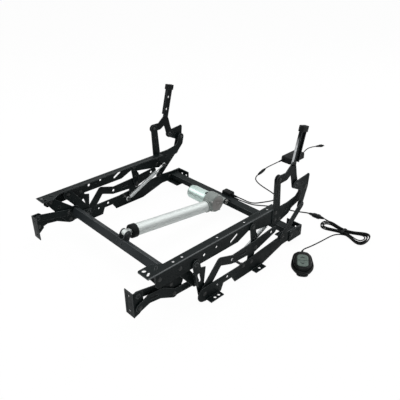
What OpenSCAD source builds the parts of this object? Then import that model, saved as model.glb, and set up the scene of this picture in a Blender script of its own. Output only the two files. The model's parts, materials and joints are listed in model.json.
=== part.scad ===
// Power recliner mechanism: two mirrored steel linkages, one linear actuator, a handset and a power pack.
// Frame: X across the seat (+X is the sitter's left), -Y to the front, Z up, floor at Z = 0, millimetres.
// The origin is the centre of the four base bolts.

/* [Overall] */
// Half of the width over the two seat rails
half_w = 280; // [260:1:300]
// Thickness of every pressed steel plate
plate_t = 3; // [2.6:0.1:3.4]
// Free gap between neighbouring plates
layer_gap = 2; // [1.9:0.1:2.6]
// Space between a seat rail and the first footrest link
inner_gap = 9; // [7:0.5:14]

/* [Rivets] */
// Radius of a pivot rivet shank
rivet_r = 4; // [3.5:0.1:4.5]
// Radius of a rivet head and shoulder
head_r = 6.5; // [6:0.1:7]
// Height of a rivet head
head_t = 1.6; // [1.2:0.1:1.6]
// Radial running clearance of a pivot
fit_clear = 0.05; // [0.03:0.01:0.1]
// Side clearance of a pivoting plate
face_clear = 0.2; // [0.1:0.05:0.25]

/* [Base] */
// Width of a foot beside its rail
foot_w = 18; // [17:0.5:30]
// Distance from a rail to its foot bolts
foot_bolt_in = 9; // [8:0.5:9]
// Radius of the base bolt holes
foot_hole_r = 4.2; // [3:0.1:5]
// Distance of the base bolts before and behind the centre
foot_bolt_y = 95; // [90:1:100]
// Depth of the rear tube, front to back
rear_tube_d = 30; // [24:1:32]
// Height of the rear tube
rear_tube_h = 20; // [18:1:22]
// Wall of both cross tubes
tube_wall = 2; // [1.5:0.1:3]

/* [Seat] */
// Width of the flange that carries the seat
flange_w = 25; // [22:1:30]
// Radius of the seat bolt holes
seat_hole_r = 3.6; // [3:0.1:4.5]
// Distance of the seat bolt line from the outer face
seat_bolt_in = 14; // [12:0.5:15]

/* [Actuator] */
// Sideways place of the actuator
act_x = 8; // [-20:1:30]
// Gap between a pair of actuator ears
ear_gap = 18; // [16:0.5:22]
// Thickness of an actuator ear
ear_t = 4; // [3:0.5:6]
// Side clearance of an eye between its ears
eye_clear = 0.3; // [0.2:0.05:0.6]
// Radius of the actuator pins
pin_r = 5; // [4:0.1:6]
// Outer radius of the actuator tube
act_r = 19; // [15:0.5:20]
// Radius of the push rod
rod_r = 8.6; // [7:0.1:8.6]
// Radius of the gearbox drum
drum_r = 32; // [28:1:34]
// Half of the gearbox width
drum_w = 22; // [18:1:26]
// Radius of the motor can
motor_r = 25; // [20:1:26]
// Length of the motor can
motor_l = 85; // [60:1:110]

/* [Footrest] */
// Side of the square front tube
front_tube_w = 25; // [20:1:26]
// Inward width of the footrest flange
rest_flange_w = 34; // [28:1:44]
// Radius of the footrest bolt holes
rest_hole_r = 3.6; // [3:0.1:4.5]

/* [Back] */
// Width of the back upright
upright_w = 23; // [20:1:28]
// Depth of the folded edges of the upright
upright_d = 8; // [7:0.5:12]
// Length of the back upright
upright_l = 104; // [95:1:120]
// Height of the cap on the upright
cap_h = 18; // [14:1:24]

/* [Springs] */
// Wire diameter of a return spring
wire_d = 2.8; // [2.2:0.1:3]
// Mean coil radius of a return spring
coil_r = 4.8; // [4.2:0.1:5.4]
// Number of curls of one spring
curls = 36; // [30:1:36]

/* [Handset and power] */
// Length of the handset
hand_l = 112; // [104:1:120]
// Width of the handset
hand_w = 70; // [64:1:76]
// Thickness of the handset
hand_t = 20; // [18:0.5:24]
// Length of a handset button
pad_l = 28; // [22:1:30]
// Width of a handset button
pad_w = 34; // [26:1:36]
// Travel of a handset button
button_travel = 1.5; // [1:0.1:2]
// Length of the power brick
brick_l = 104; // [90:1:104]
// Width of the power brick
brick_w = 52; // [46:1:60]
// Height of the power brick
brick_h = 28; // [26:1:36]
// Radius of the cords
cord_r = 2.2; // [2:0.1:2.4]
// Radius of the handset cord
thin_r = 2; // [1.8:0.1:2.1]

/* [Hidden] */
$fn = 40;

steel = [0.13, 0.13, 0.14];
zinc = [0.72, 0.73, 0.75];
alloy = [0.78, 0.79, 0.8];
plastic = [0.08, 0.08, 0.09];
grey = [0.42, 0.43, 0.45];

// Plate layers, each a pair of X values on the left side
pitch = plate_t + layer_gap;
seat_x = [half_w - plate_t, half_w];
rear_x = [half_w, half_w + plate_t];
function inner(k) = [
    seat_x[0] - inner_gap - plate_t - (k - 1) * pitch,
    seat_x[0] - inner_gap - (k - 1) * pitch];
function outer(k) = [
    half_w + layer_gap + (k - 1) * pitch,
    half_w + layer_gap + (k - 1) * pitch + plate_t];
foot_bolt_x = outer(3)[1] + foot_bolt_in;

// Pivot points as [Y, Z]
crank_pivot = [-265, 144];
crank_lower = [-206, 57];
crank_upper = [-212, 87];
ottoman_pivot = [-197, 142];
ottoman_lower = [-134, 55];
rest_upper = [-317, 109];
rest_lower = [-317, 75];
rear_lift_base = [88, 74];
rear_lift_seat = [79, 144];
front_lift_base = [-126, 26];
front_lift_seat = [-146, 130];
back_pivot = [181, 262];
back_lower = [258, 221];
bell_pivot = [308, 196];
bell_tip = [317, 231];
bell_lower = [290, 140];
recline_base = [205, 62];
act_rear = [248, 56];
act_front = [-172, 110];
tube_front = [-188, 83];
spring_base = [30, 40];
spring_seat = [203, 119];
base_fix = [66, 36];
bracket_fix_a = [254, 43];
bracket_fix_b = [298.6, 43];
plate_fix_a = [182, 148];
plate_fix_b = [182, 124];
top_z = 163;
rear_tube_y = 262;
rear_tube_z = 30;

// Actuator measures along its own axis
act_len = norm(act_front - act_rear);
act_tilt = atan2(act_front[1] - act_rear[1], act_rear[0] - act_front[0]);
eye_w = ear_gap - 2 * eye_clear;
drum_s = 55;
neck_s = 92;
tube_s = 394;
collar_s = tube_s + 12;
eye_r = 9.6;

// Footrest, spring and cord places
rest_y = -334;
rest_z = [48, 123];
spring_x = seat_x[0] - 15;
spring_pin_r = 4;
spring_len = norm(spring_seat - spring_base);
hand_at = [386, 197];
hand_turn = -54;
plug_a = [227, 460, 7];
plug_b = [283, 467, 7];
dc_a = [-102, 570, 6];
dc_b = [-118, 636, 6];
mains_a = [-107, 994, 5];
mains_b = [-88, 1029, 5];
brick_y = 750;
brick_x = -99;
hank_at = [376, 444];
hank_turn = 5;
hank_a = 86;
hank_da = 6;
hank_lobe = 27;
hank_dlobe = 5.4;
hank_waist = 13.4;
hank_dwaist = 4.7;
hank_fan = 0.25;
hank_z = thin_r + 1.8;
hank_start = 140;
hank_end = -75;
hank_loops = 4 + (hank_start - hank_end) / 360;
box_x = [-44, -4];
box_y = rear_tube_y + rear_tube_d;

// Small helpers
function unit(v) = v / norm(v);
function flat(p, z) = [p[0], p[1], z];
function tangent(path, i) =
    i == 0 ? unit(path[1] - path[0])
    : i == len(path) - 1 ? unit(path[i] - path[i - 1])
    : unit(path[i + 1] - path[i - 1]);
function ring(p, t, ref, r, n) =
    let (u = unit(ref - (ref * t) * t), v = cross(t, u))
    [for (k = [0:n - 1]) p + r * (cos(360 * k / n) * u + sin(360 * k / n) * v)];
function smooth_at(p, q, s, w, t) =
    0.5 * (2 * q + (s - p) * t + (2 * p - 5 * q + 4 * s - w) * t * t
        + (3 * q - p - 3 * s + w) * t * t * t);
function smooth_path(p, n) = concat(
    [for (i = [0:len(p) - 2]) for (k = [0:n - 1])
        smooth_at(p[max(i - 1, 0)], p[i], p[i + 1], p[min(i + 2, len(p) - 1)], k / n)],
    [p[len(p) - 1]]);

module tube_along(path, refs, r, n) {
    last = len(path) - 1;
    points = [for (i = [0:last]) each ring(path[i], tangent(path, i), refs[i], r, n)];
    sides = [for (i = [0:last - 1]) for (k = [0:n - 1])
        let (a = i * n + k, b = i * n + (k + 1) % n)
        each [[a, a + n, b], [b, a + n, b + n]]];
    start = [for (k = [1:n - 2]) [0, k, k + 1]];
    end = [for (k = [1:n - 2]) [last * n, last * n + k + 1, last * n + k]];
    polyhedron(points, concat(sides, start, end), convexity = 8);
}

module cord(route, r, n) {
    path = smooth_path(route, n);
    tube_along(path, [for (p = path) [0, 0, 1]], r, 8);
}

// A plate drawn in the Y-Z plane and given its X layer
module plate(x) {
    translate([x[0], 0, 0])
        rotate([90, 0, 90])
            linear_extrude(x[1] - x[0])
                children();
}

// Two circles and the straight flanks between them, sunk a little where tangents would only graze
module taper(p, rp, q, rq, sink = 0) {
    d = norm(q - p);
    u = (q - p) / d;
    n = [-u[1], u[0]];
    s = (rp - rq) / d;
    c = sqrt(1 - s * s);
    translate(p) circle(rp);
    translate(q) circle(rq);
    polygon([p + (rp - sink) * (s * u + c * n), q + (rq - sink) * (s * u + c * n),
        q + (rq - sink) * (s * u - c * n), p + (rp - sink) * (s * u - c * n)]);
}

module chain(points, radii, sink = 0) {
    for (i = [0:len(points) - 2])
        taper(points[i], radii[i], points[i + 1], radii[i + 1], sink);
}

module bore(p, r = rivet_r + fit_clear) {
    translate(p) circle(r);
}

module slot(p, q, r) {
    taper(p, r, q, r);
}

module rod_x(p, x0, x1, r) {
    translate([x0, p[0], p[1]])
        rotate([0, 90, 0])
            cylinder(r = r, h = x1 - x0);
}

module dome_up(p, x) {
    translate([x, p[0], p[1]])
        rotate([0, 90, 0])
            cylinder(r1 = head_r, r2 = head_r - 1.5, h = head_t);
}

module dome_down(p, x) {
    translate([x - head_t, p[0], p[1]])
        rotate([0, 90, 0])
            cylinder(r1 = head_r - 1.5, r2 = head_r, h = head_t);
}

// Rivet fixed in its holder plate with a shoulder, the other plate turning on it
module pivot(p, holder, turner) {
    out = holder[0] < turner[0];
    x0 = out ? holder[0] : turner[0] - face_clear;
    x1 = out ? turner[1] + face_clear : holder[1];
    s0 = out ? holder[1] : turner[1] + face_clear;
    s1 = out ? turner[0] - face_clear : holder[0];
    rod_x(p, x0, x1, rivet_r);
    rod_x(p, s0, s1, head_r);
    dome_down(p, x0);
    dome_up(p, x1);
}

// Rivet that clamps two touching or spaced plates of one body
module clamp(p, x0, x1) {
    rod_x(p, x0, x1, rivet_r);
    dome_down(p, x0);
    dome_up(p, x1);
}

module both() {
    children();
    mirror([1, 0, 0]) children();
}

// Pieces of one side, drawn on the left
module base_rail_side() {
    difference() {
        union() {
            plate(outer(3)) {
                polygon([[-126, 0], [-62, 0], [-52, 23], [-18, 23], [-4, 0], [120, 0], [214, 26], [306, 26], [306, 58], [215, 64],
                    [10, 47], [-126, 48]]);
                translate([-127, 24.5]) circle(23);
                translate(recline_base) circle(15);
            }
            translate([outer(3)[0], -118, 0])
                cube([plate_t + foot_w, 50, plate_t]);
            translate([outer(3)[0], 70, 0])
                cube([plate_t + foot_w, 46, plate_t]);
        }
        plate([outer(3)[0] - 1, outer(3)[1] + 1]) {
            bore(front_lift_base);
            bore(recline_base);
            bore(base_fix);
            bore(bracket_fix_a);
            bore(bracket_fix_b);
            bore(spring_base, spring_pin_r + fit_clear);
            bore([-36, 36], 4);
            bore([-76, 30], 3);
            slot([135, 14], [165, 23], 4);
        }
        for (y = [-foot_bolt_y, foot_bolt_y, 15 - foot_bolt_y])
            translate([foot_bolt_x, y, -1])
                cylinder(r = foot_hole_r, h = plate_t + 2);
    }
}

module base_bar_side() {
    x = outer(2);
    difference() {
        union() {
            plate(x)
                chain([front_lift_base, [-62, 98], [-12, 80], [84, 79], [172, 96]],
                    [15, 13, 14, 20, 12]);
            plate(x)
                taper([72, 70], 15, base_fix, 13);
        }
        plate([x[0] - 1, x[1] + 1]) {
            bore(front_lift_base, head_r + fit_clear);
            bore(base_fix);
            bore(rear_lift_base);
            bore([-12, 80], 4.5);
            bore([160, 94], 4.5);
            slot([24, 80], [46, 80], 3.5);
        }
    }
}

module rear_bracket_side() {
    x0 = outer(3)[1];
    difference() {
        union() {
            translate([x0, 246, 21])
                cube([plate_t, 63, 38]);
            translate([x0 - 55, 306, 21])
                cube([55 + plate_t, 3, 38]);
            translate([x0 - 55, 246, 21])
                cube([55 + plate_t, 63, 3]);
        }
        plate([x0 - 1, x0 + plate_t + 1]) {
            bore(bracket_fix_a);
            bore(bracket_fix_b);
        }
        for (x = [x0 - 42, x0 - 18])
            translate([x, 311, 42])
                rotate([90, 0, 0])
                    cylinder(r = 4, h = 8);
    }
}

module rear_lift_side() {
    x = outer(1);
    difference() {
        union() {
            plate(x)
                taper(rear_lift_base, 12, rear_lift_seat, 12);
            plate(x)
                translate([86, 108]) circle(14);
        }
        plate([x[0] - 1, x[1] + 1]) {
            bore(rear_lift_base);
            bore(rear_lift_seat);
            bore([86, 108], 5);
        }
    }
}

module front_lift_side() {
    plate(outer(1))
        difference() {
            union() {
                taper(front_lift_base, 14, front_lift_seat, 13);
                polygon([[-150, 62], [-158, 104], [-150, 118], [-112, 106], [-118, 60]]);
            }
            bore(front_lift_base);
            slot([-134, 70], [-138, 92], 4);
        }
    plate([outer(1)[0], outer(1)[1] + 9])
        polygon([[-150, 62], [-158, 104], [-155, 104.6], [-147, 62.6]]);
    dome_up(front_lift_seat, outer(1)[1]);
}

module seat_rail_side() {
    tab_x = half_w - 45;
    lip_x = half_w - flange_w;
    bolt_x = half_w - seat_bolt_in;
    difference() {
        union() {
            translate([0, 0, top_z - plate_t])
                linear_extrude(plate_t)
                    polygon([[half_w, -300], [tab_x + 4, -300], [tab_x, -296], [tab_x, -262],
                        [lip_x, -232], [lip_x, 196], [half_w, 196]]);
            plate(seat_x)
                polygon([[-279, top_z], [-279, 128], [-270, 118], [-125, 120], [20, 119],
                    [65, 137], [92, 126], [196, 106], [196, top_z]]);
        }
        plate([seat_x[0] - 1, seat_x[1] + 1]) {
            bore(crank_pivot);
            bore(ottoman_pivot);
            bore(rear_lift_seat);
            bore(front_lift_seat);
            bore(plate_fix_a);
            bore(plate_fix_b);
            bore([-112, 141], 4.5);
            bore([-66, 144], 3.5);
            slot([-8, 134], [14, 146], 4);
        }
        for (y = [-209, -179, -51, 59, 127, 162])
            translate([bolt_x, y, top_z - plate_t - 1])
                cylinder(r = seat_hole_r, h = plate_t + 2);
        translate([0, 0, top_z - plate_t - 1])
            linear_extrude(plate_t + 2) {
                bore([tab_x + 11, -286], 5.5);
                slot([bolt_x, -290], [bolt_x - 6, -282], 3);
                slot([bolt_x - 4, -262], [bolt_x - 12, -254], 3);
            }
    }
}

module rear_plate_side() {
    difference() {
        union() {
            plate(rear_x)
                polygon([[170, top_z], [170, 113], [190, 105], [248, 121], [266, 138], [262, top_z]]);
            plate(rear_x)
                taper([186, 168], 16, back_pivot, 14);
            plate(rear_x)
                chain([[240, 146], [285, 156], [304, 174], bell_pivot], [17, 14, 13, 14]);
        }
        plate([rear_x[0] - 1, rear_x[1] + 1]) {
            bore(back_pivot);
            bore(bell_pivot);
            bore(plate_fix_a);
            bore(plate_fix_b);
            bore(spring_seat, spring_pin_r + fit_clear);
            bore([232, 140], 5);
            slot([184, 200], [183, 222], 3.5);
        }
    }
}

module drive_crank_side() {
    x = inner(3);
    difference() {
        union() {
            plate(x)
                taper(crank_pivot, 14, [-203, 74], 27);
            plate(x)
                taper([-203, 74], 27, tube_front, 18);
        }
        plate([x[0] - 1, x[1] + 1]) {
            bore(crank_pivot);
            bore(crank_lower);
            bore(crank_upper);
            bore([-240, 116], 5);
        }
    }
}

module lower_arm_side() {
    x = inner(2);
    difference() {
        union() {
            plate(x)
                chain([rest_lower, [-287, 86], [-247, 81], crank_lower], [12, 13.5, 15, 13], 0.04);
            plate(x)
                taper([-212, 60], 12, ottoman_lower, 11, 0.04);
        }
        plate([x[0] - 1, x[1] + 1]) {
            bore(rest_lower);
            bore(crank_lower);
            slot([-281, 86], [-263, 83], 3.5);
        }
    }
    dome_down(ottoman_lower, x[0]);
}

module upper_arm_side() {
    plate(inner(4))
        difference() {
            taper(crank_upper, 11, rest_upper, 11);
            bore(crank_upper);
        }
    dome_down(rest_upper, inner(4)[0]);
}

module ottoman_link_side() {
    plate(inner(1))
        difference() {
            taper(ottoman_pivot, 16, ottoman_lower, 13);
            bore(ottoman_pivot);
        }
    dome_up(ottoman_lower, inner(1)[1]);
}

module ottoman_bracket_side() {
    x1 = inner(3)[1];
    difference() {
        union() {
            plate(inner(3))
                polygon([[rest_y, rest_z[1]], [rest_y, rest_z[0]], [-316, 54], [-302, 66],
                    [-302, 116], [-310, rest_z[1]]]);
            translate([x1 - rest_flange_w, rest_y, rest_z[0]])
                cube([rest_flange_w, plate_t, rest_z[1] - rest_z[0]]);
        }
        plate([inner(3)[0] - 1, x1 + 1])
            bore(rest_lower);
        for (z = [62, 109])
            translate([x1 - 18, rest_y - 1, z])
                rotate([-90, 0, 0])
                    cylinder(r = rest_hole_r, h = plate_t + 2);
    }
    dome_up(rest_upper, x1);
}

// Local frame of the back upright, its own Z along the leaning channel
module on_upright() {
    translate([0, 241, 286])
        rotate([-14.5, 0, 0])
            children();
}

module back_bracket_side() {
    x = outer(2);
    difference() {
        union() {
            plate(x) {
                chain([back_pivot, [212, 262], [240, 282]], [14, 13, 15]);
                chain([[243, 276], [250, 250], back_lower], [14, 13, 14]);
            }
            on_upright() {
                translate([x[0], -upright_w / 2, 0])
                    cube([plate_t, upright_w, upright_l]);
                for (y = [-upright_w / 2, upright_w / 2 - plate_t])
                    translate([x[0], y, 14])
                        cube([plate_t + upright_d, plate_t, upright_l - 14]);
            }
        }
        plate([x[0] - 1, x[1] + 1])
            bore(back_pivot);
        on_upright()
            for (z = [34, 78])
                translate([x[0] - 1, 0, z])
                    rotate([0, 90, 0])
                        cylinder(r = 4.2, h = plate_t + 2);
    }
    dome_down(back_lower, x[0]);
}

module back_cap_side() {
    x = outer(2);
    on_upright()
        difference() {
            translate([x[0] - 2, -upright_w / 2 - 3, upright_l])
                cube([plate_t + upright_d + 4, upright_w + 6, cap_h]);
            translate([x[0] + plate_t / 2 + upright_d / 2, 0, upright_l + 4])
                cylinder(r = 4, h = cap_h);
        }
}

module bell_crank_side() {
    plate(outer(3))
        difference() {
            union() {
                polygon([back_lower + [2, 12], bell_tip + [-4, 7], bell_pivot, back_lower]);
                taper(bell_pivot, 14, back_lower, 13);
                taper(bell_pivot, 14, bell_tip, 8);
                taper(bell_pivot, 14, bell_lower, 13);
            }
            bore(bell_pivot);
            bore([288, 215], 5);
        }
    dome_up(back_lower, outer(3)[1]);
    dome_down(bell_lower, outer(3)[0]);
}

module recline_link_side() {
    plate(outer(4))
        difference() {
            taper(recline_base, 12, bell_lower, 12);
            bore(recline_base);
        }
    dome_up(bell_lower, outer(4)[1]);
}

// Base
module left_base_rail() { color(steel) base_rail_side(); }
module right_base_rail() { color(steel) mirror([1, 0, 0]) base_rail_side(); }
module left_base_bar() { color(steel) base_bar_side(); }
module right_base_bar() { color(steel) mirror([1, 0, 0]) base_bar_side(); }
module rear_brackets() { color(steel) both() rear_bracket_side(); }

module rear_tube() {
    half = outer(3)[0];
    color(steel)
        difference() {
            union() {
                translate([-half, rear_tube_y, rear_tube_z])
                    cube([2 * half, rear_tube_d, rear_tube_h]);
                for (x = [act_x - ear_gap / 2 - ear_t, act_x + ear_gap / 2])
                    plate([x, x + ear_t])
                        taper([270, 42], 11, act_rear, 11);
            }
            translate([-half - 1, rear_tube_y + tube_wall, rear_tube_z + tube_wall])
                cube([2 * half + 2, rear_tube_d - 2 * tube_wall, rear_tube_h - 2 * tube_wall]);
            rod_x(act_rear, act_x - ear_gap, act_x + ear_gap, pin_r + fit_clear);
        }
}

module clevis_pin() {
    reach = ear_gap / 2 + ear_t;
    color(zinc) {
        rod_x(act_rear, act_x - reach - 5, act_x + reach, pin_r);
        rod_x(act_rear, act_x + reach, act_x + reach + 3, pin_r + 3);
        rod_x(act_rear, act_x - reach - 3, act_x - reach, pin_r + 2);
    }
}

module base_rivets() {
    color(zinc)
        both() {
            pivot(rear_lift_base, outer(2), outer(1));
            pivot(front_lift_base, outer(3), outer(1));
            pivot(recline_base, outer(3), outer(4));
            clamp(base_fix, outer(2)[0], outer(3)[1]);
            rod_x(base_fix, outer(2)[1], outer(3)[0], head_r);
            clamp(bracket_fix_a, outer(3)[0], outer(3)[1] + plate_t);
            clamp(bracket_fix_b, outer(3)[0], outer(3)[1] + plate_t);
            rod_x(spring_base, spring_x - 6, outer(3)[1], spring_pin_r);
            rod_x(spring_base, outer(2)[0], outer(3)[0], head_r);
            dome_up(spring_base, outer(3)[1]);
            dome_down(spring_base, spring_x - 6);
        }
}

// Lift links
module left_rear_lift_link() { color(steel) rear_lift_side(); }
module right_rear_lift_link() { color(steel) mirror([1, 0, 0]) rear_lift_side(); }
module left_front_lift_link() { color(steel) front_lift_side(); }
module right_front_lift_link() { color(steel) mirror([1, 0, 0]) front_lift_side(); }

// Seat
module left_seat_rail() { color(steel) seat_rail_side(); }
module right_seat_rail() { color(steel) mirror([1, 0, 0]) seat_rail_side(); }
module left_rear_plate() { color(steel) rear_plate_side(); }
module right_rear_plate() { color(steel) mirror([1, 0, 0]) rear_plate_side(); }

module seat_rivets() {
    color(zinc)
        both() {
            pivot(crank_pivot, seat_x, inner(3));
            pivot(ottoman_pivot, seat_x, inner(1));
            pivot(rear_lift_seat, seat_x, outer(1));
            pivot(back_pivot, rear_x, outer(2));
            pivot(bell_pivot, rear_x, outer(3));
            clamp(front_lift_seat, seat_x[0], seat_x[1]);
            clamp(plate_fix_a, seat_x[0], rear_x[1]);
            clamp(plate_fix_b, seat_x[0], rear_x[1]);
            rod_x(spring_seat, spring_x - 6, rear_x[1], spring_pin_r);
            rod_x(spring_seat, rear_x[0] - 3, rear_x[0], head_r);
            dome_up(spring_seat, rear_x[1]);
            dome_down(spring_seat, spring_x - 6);
        }
}

// Footrest linkage
module left_drive_crank() { color(steel) drive_crank_side(); }
module right_drive_crank() { color(steel) mirror([1, 0, 0]) drive_crank_side(); }

module front_tube() {
    crank_x = inner(3)[0];
    half = inner(4)[0] - 3;
    color(steel) {
        difference() {
            union() {
                translate([-half, tube_front[0], tube_front[1]])
                    rotate([-30, 0, 0])
                        translate([0, -front_tube_w / 2, -front_tube_w / 2])
                            cube([2 * half, front_tube_w, front_tube_w]);
                for (x = [act_x - ear_gap / 2 - ear_t, act_x + ear_gap / 2])
                    plate([x, x + ear_t])
                        taper(tube_front, 14, act_front, 11);
                for (side = [0, 1])
                    rod_x(act_front, act_x + (side == 0 ? -ear_gap / 2 - ear_t - 3 : ear_gap / 2 + ear_t),
                        act_x + (side == 0 ? -ear_gap / 2 - ear_t : ear_gap / 2 + ear_t + 3), pin_r + 3);
            }
            translate([3 - half, tube_front[0], tube_front[1]])
                rotate([-30, 0, 0])
                    translate([0, tube_wall - front_tube_w / 2, tube_wall - front_tube_w / 2])
                        cube([2 * half - 6, front_tube_w - 2 * tube_wall, front_tube_w - 2 * tube_wall]);
        }
        rod_x(tube_front, -crank_x, 2 - half, 8);
        rod_x(tube_front, half - 2, crank_x, 8);
    }
}

module crank_rivets() {
    color(zinc)
        both() {
            pivot(crank_lower, inner(3), inner(2));
            pivot(crank_upper, inner(3), inner(4));
        }
}

module left_lower_arm() { color(steel) lower_arm_side(); }
module right_lower_arm() { color(steel) mirror([1, 0, 0]) lower_arm_side(); }

module arm_rivets() {
    color(zinc)
        both()
            pivot(rest_lower, inner(2), inner(3));
}

module left_upper_arm() { color(steel) upper_arm_side(); }
module right_upper_arm() { color(steel) mirror([1, 0, 0]) upper_arm_side(); }
module left_ottoman_link() { color(steel) ottoman_link_side(); }
module right_ottoman_link() { color(steel) mirror([1, 0, 0]) ottoman_link_side(); }
module left_ottoman_bracket() { color(steel) ottoman_bracket_side(); }
module right_ottoman_bracket() { color(steel) mirror([1, 0, 0]) ottoman_bracket_side(); }

// Back and recline linkage
module left_back_bracket() { color(steel) back_bracket_side(); }
module right_back_bracket() { color(steel) mirror([1, 0, 0]) back_bracket_side(); }
module back_caps() { color(plastic) both() back_cap_side(); }
module left_bell_crank() { color(steel) bell_crank_side(); }
module right_bell_crank() { color(steel) mirror([1, 0, 0]) bell_crank_side(); }
module left_recline_link() { color(steel) recline_link_side(); }
module right_recline_link() { color(steel) mirror([1, 0, 0]) recline_link_side(); }

// Return springs, one unbroken wire each
spring_way = unit([0, spring_seat[0] - spring_base[0], spring_seat[1] - spring_base[1]]);
spring_side = [1, 0, 0];
spring_up = cross(spring_way, spring_side);
spring_pitch = 3.8;
coil_start = 12;
coil_end = coil_start + curls * spring_pitch;
function coil_radius(i) = coil_r * min(1, i / 8, (8 * curls - i) / 8);
function coil_point(i) =
    [spring_x, spring_base[0], spring_base[1]]
    + (coil_start + i * spring_pitch / 8) * spring_way
    + coil_radius(i) * (cos(45 * i) * spring_side + sin(45 * i) * spring_up);
function wire_point(s) = [spring_x, spring_base[0], spring_base[1]] + s * spring_way;
spring_path = concat(
    [wire_point(spring_pin_r + 0.3), wire_point(8)],
    [for (i = [0:8 * curls]) coil_point(i)],
    [wire_point(coil_end + 4), wire_point(spring_len - spring_pin_r - 0.3)]);
spring_refs = concat(
    [spring_side, spring_side],
    [for (i = [0:8 * curls]) cos(45 * i) * spring_side + sin(45 * i) * spring_up],
    [spring_side, spring_side]);
spring_gap = min([for (i = [8:8 * curls - 16]) for (k = [5:10])
    norm(coil_point(i + k) - coil_point(i))]) - wire_d;
echo(spring_gap = spring_gap);

module spring_side_form() { tube_along(spring_path, spring_refs, wire_d / 2, 6); }
module left_spring() { color(zinc) spring_side_form(); }
module right_spring() { color(zinc) mirror([1, 0, 0]) spring_side_form(); }

// Linear actuator, drawn along -Y from its rear pin and then tilted
module on_actuator() {
    translate([act_x, act_rear[0], act_rear[1]])
        rotate([-act_tilt, 0, 0])
            children();
}

module along(s0, s1, r) {
    translate([0, -s0, 0])
        rotate([90, 0, 0])
            cylinder(r = r, h = s1 - s0);
}

module gearbox() {
    color(grey)
        on_actuator()
            difference() {
                union() {
                    rod_x([0, 0], -eye_w / 2, eye_w / 2, 10);
                    translate([-eye_w / 2, -40, -10])
                        cube([eye_w, 40, 20]);
                    rod_x([-drum_s, 9], -drum_w, drum_w, drum_r);
                    along(drum_s, neck_s, act_r + 3);
                }
                rod_x([0, 0], -ear_gap, ear_gap, pin_r + fit_clear);
            }
}

module motor_can() {
    color(alloy)
        on_actuator() {
            rod_x([-drum_s, 10], -drum_w - motor_l, -drum_w, motor_r);
            rod_x([-drum_s, 10], -drum_w - motor_l - 6, -drum_w - motor_l, 8);
        }
}

module actuator_tube() {
    color(alloy)
        on_actuator()
            difference() {
                along(neck_s, tube_s, act_r);
                along(neck_s - 1, tube_s + 1, act_r - 2.5);
            }
}

module front_collar() {
    color(plastic)
        on_actuator()
            difference() {
                along(tube_s - 6, collar_s, act_r + 2.5);
                along(tube_s - 7, tube_s, act_r + fit_clear);
                along(tube_s - 1, collar_s + 1, rod_r + fit_clear);
            }
}

module actuator_rod() {
    color(alloy)
        on_actuator()
            difference() {
                union() {
                    along(185, collar_s + 4, rod_r);
                    translate([-eye_w / 2, -act_len, 1.6 - eye_r])
                        cube([eye_w, act_len - collar_s - 1.5, 2 * eye_r - 3.2]);
                    rod_x([-act_len, 0], -eye_w / 2, eye_w / 2, eye_r);
                }
                rod_x([-act_len, 0], -ear_gap, ear_gap, pin_r + 0.5);
            }
}

// Connector box on the rear tube
module connector_box() {
    color(plastic)
        translate([box_x[0], box_y, 30])
            cube([box_x[1] - box_x[0], 26, 30]);
}

// Cord routes, each with hand chosen points
lead_route = [[box_x[1], 310, 38], [16, 313, 37], [38, 328, 29], [50, 352, 14], [60, 376, 5],
    [82, 398, 2.8], [112, 416, 2.6], [150, 431, 2.6], [184, 443, 3.2], [208, 454, 6], plug_a];
dc_lead_route = [[box_x[1], 304, 52], [14, 306, 51], [34, 320, 42], [44, 344, 24], [46, 374, 9],
    [52, 402, 3], [66, 430, 2.6], [76, 452, 2.6], [70, 474, 2.6], [50, 488, 2.6], [28, 495, 2.6],
    [0, 501, 2.6], [-40, 511, 2.8], [-76, 526, 3.4], [-95, 545, 5.4], dc_a];
dc_route = [dc_b, [-123, 658, 4.6], [-126, 690, 2.8], [-122, 722, 6], [-114, 738, 12],
    [-112, brick_y, 14]];
mains_route = [[-99, brick_y + brick_l, 14], [-100, 870, 12], [-106, 890, 5], [-116, 918, 2.6],
    [-123, 950, 2.6], [-118, 976, 3.6], mains_a];
tail_route = [[387, 424, 8], [376, 421, 6.4], [364, 410, 4], [358, 392, 2.4], [355, 366, 2.4],
    [351, 330, 2.4], [346, 292, 3.4], [342, 268, 5]];

// The handset cord: a lead in, flat loops drawn in at the waist on two levels, and the tail
function hank_in(t) = min(t, hank_loops - t);
function hank_rise(t) = let (u = max(0, min(1, (t - hank_loops / 2 + 0.2) / 0.4))) u * u * (3 - 2 * u);
function hank_point(t) =
    let (
        a = hank_start - 360 * t,
        c = cos(a),
        x = (hank_a - hank_da * hank_in(t)) * c,
        y = sin(a) * (hank_waist - hank_dwaist * hank_in(t)
            + 2.6 * c * c * (1 + hank_fan * c) * (hank_lobe - hank_dlobe * hank_in(t))),
        z = hank_z + hank_rise(t) * (2 * thin_r + 0.7))
    [hank_at[0] + x * cos(hank_turn) - y * sin(hank_turn),
        hank_at[1] + x * sin(hank_turn) + y * cos(hank_turn), z];
hank_rings = 112;
hank_loop_path = [for (i = [0:hank_rings]) hank_point(hank_loops * i / hank_rings)];
hank_gap = min([for (i = [0:hank_rings - 6]) for (k = [i + 6:hank_rings])
    norm(hank_loop_path[i] - hank_loop_path[k])]) - 2 * thin_r;
echo(hank_gap = hank_gap);
hand_way = [cos(hand_turn), sin(hand_turn)];
cord_end = hand_at - (hand_l / 2) * hand_way;
tail_path = smooth_path(concat([hank_loop_path[hank_rings]], tail_route,
    [[cord_end[0] - 10 * hand_way[0], cord_end[1] - 10 * hand_way[1], 7.6],
        [cord_end[0], cord_end[1], 8]]), 2);
thin_path = concat([plug_b, plug_b + [6, 0.8, -0.6]], hank_loop_path,
    [for (i = [1:len(tail_path) - 1]) tail_path[i]]);

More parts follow.
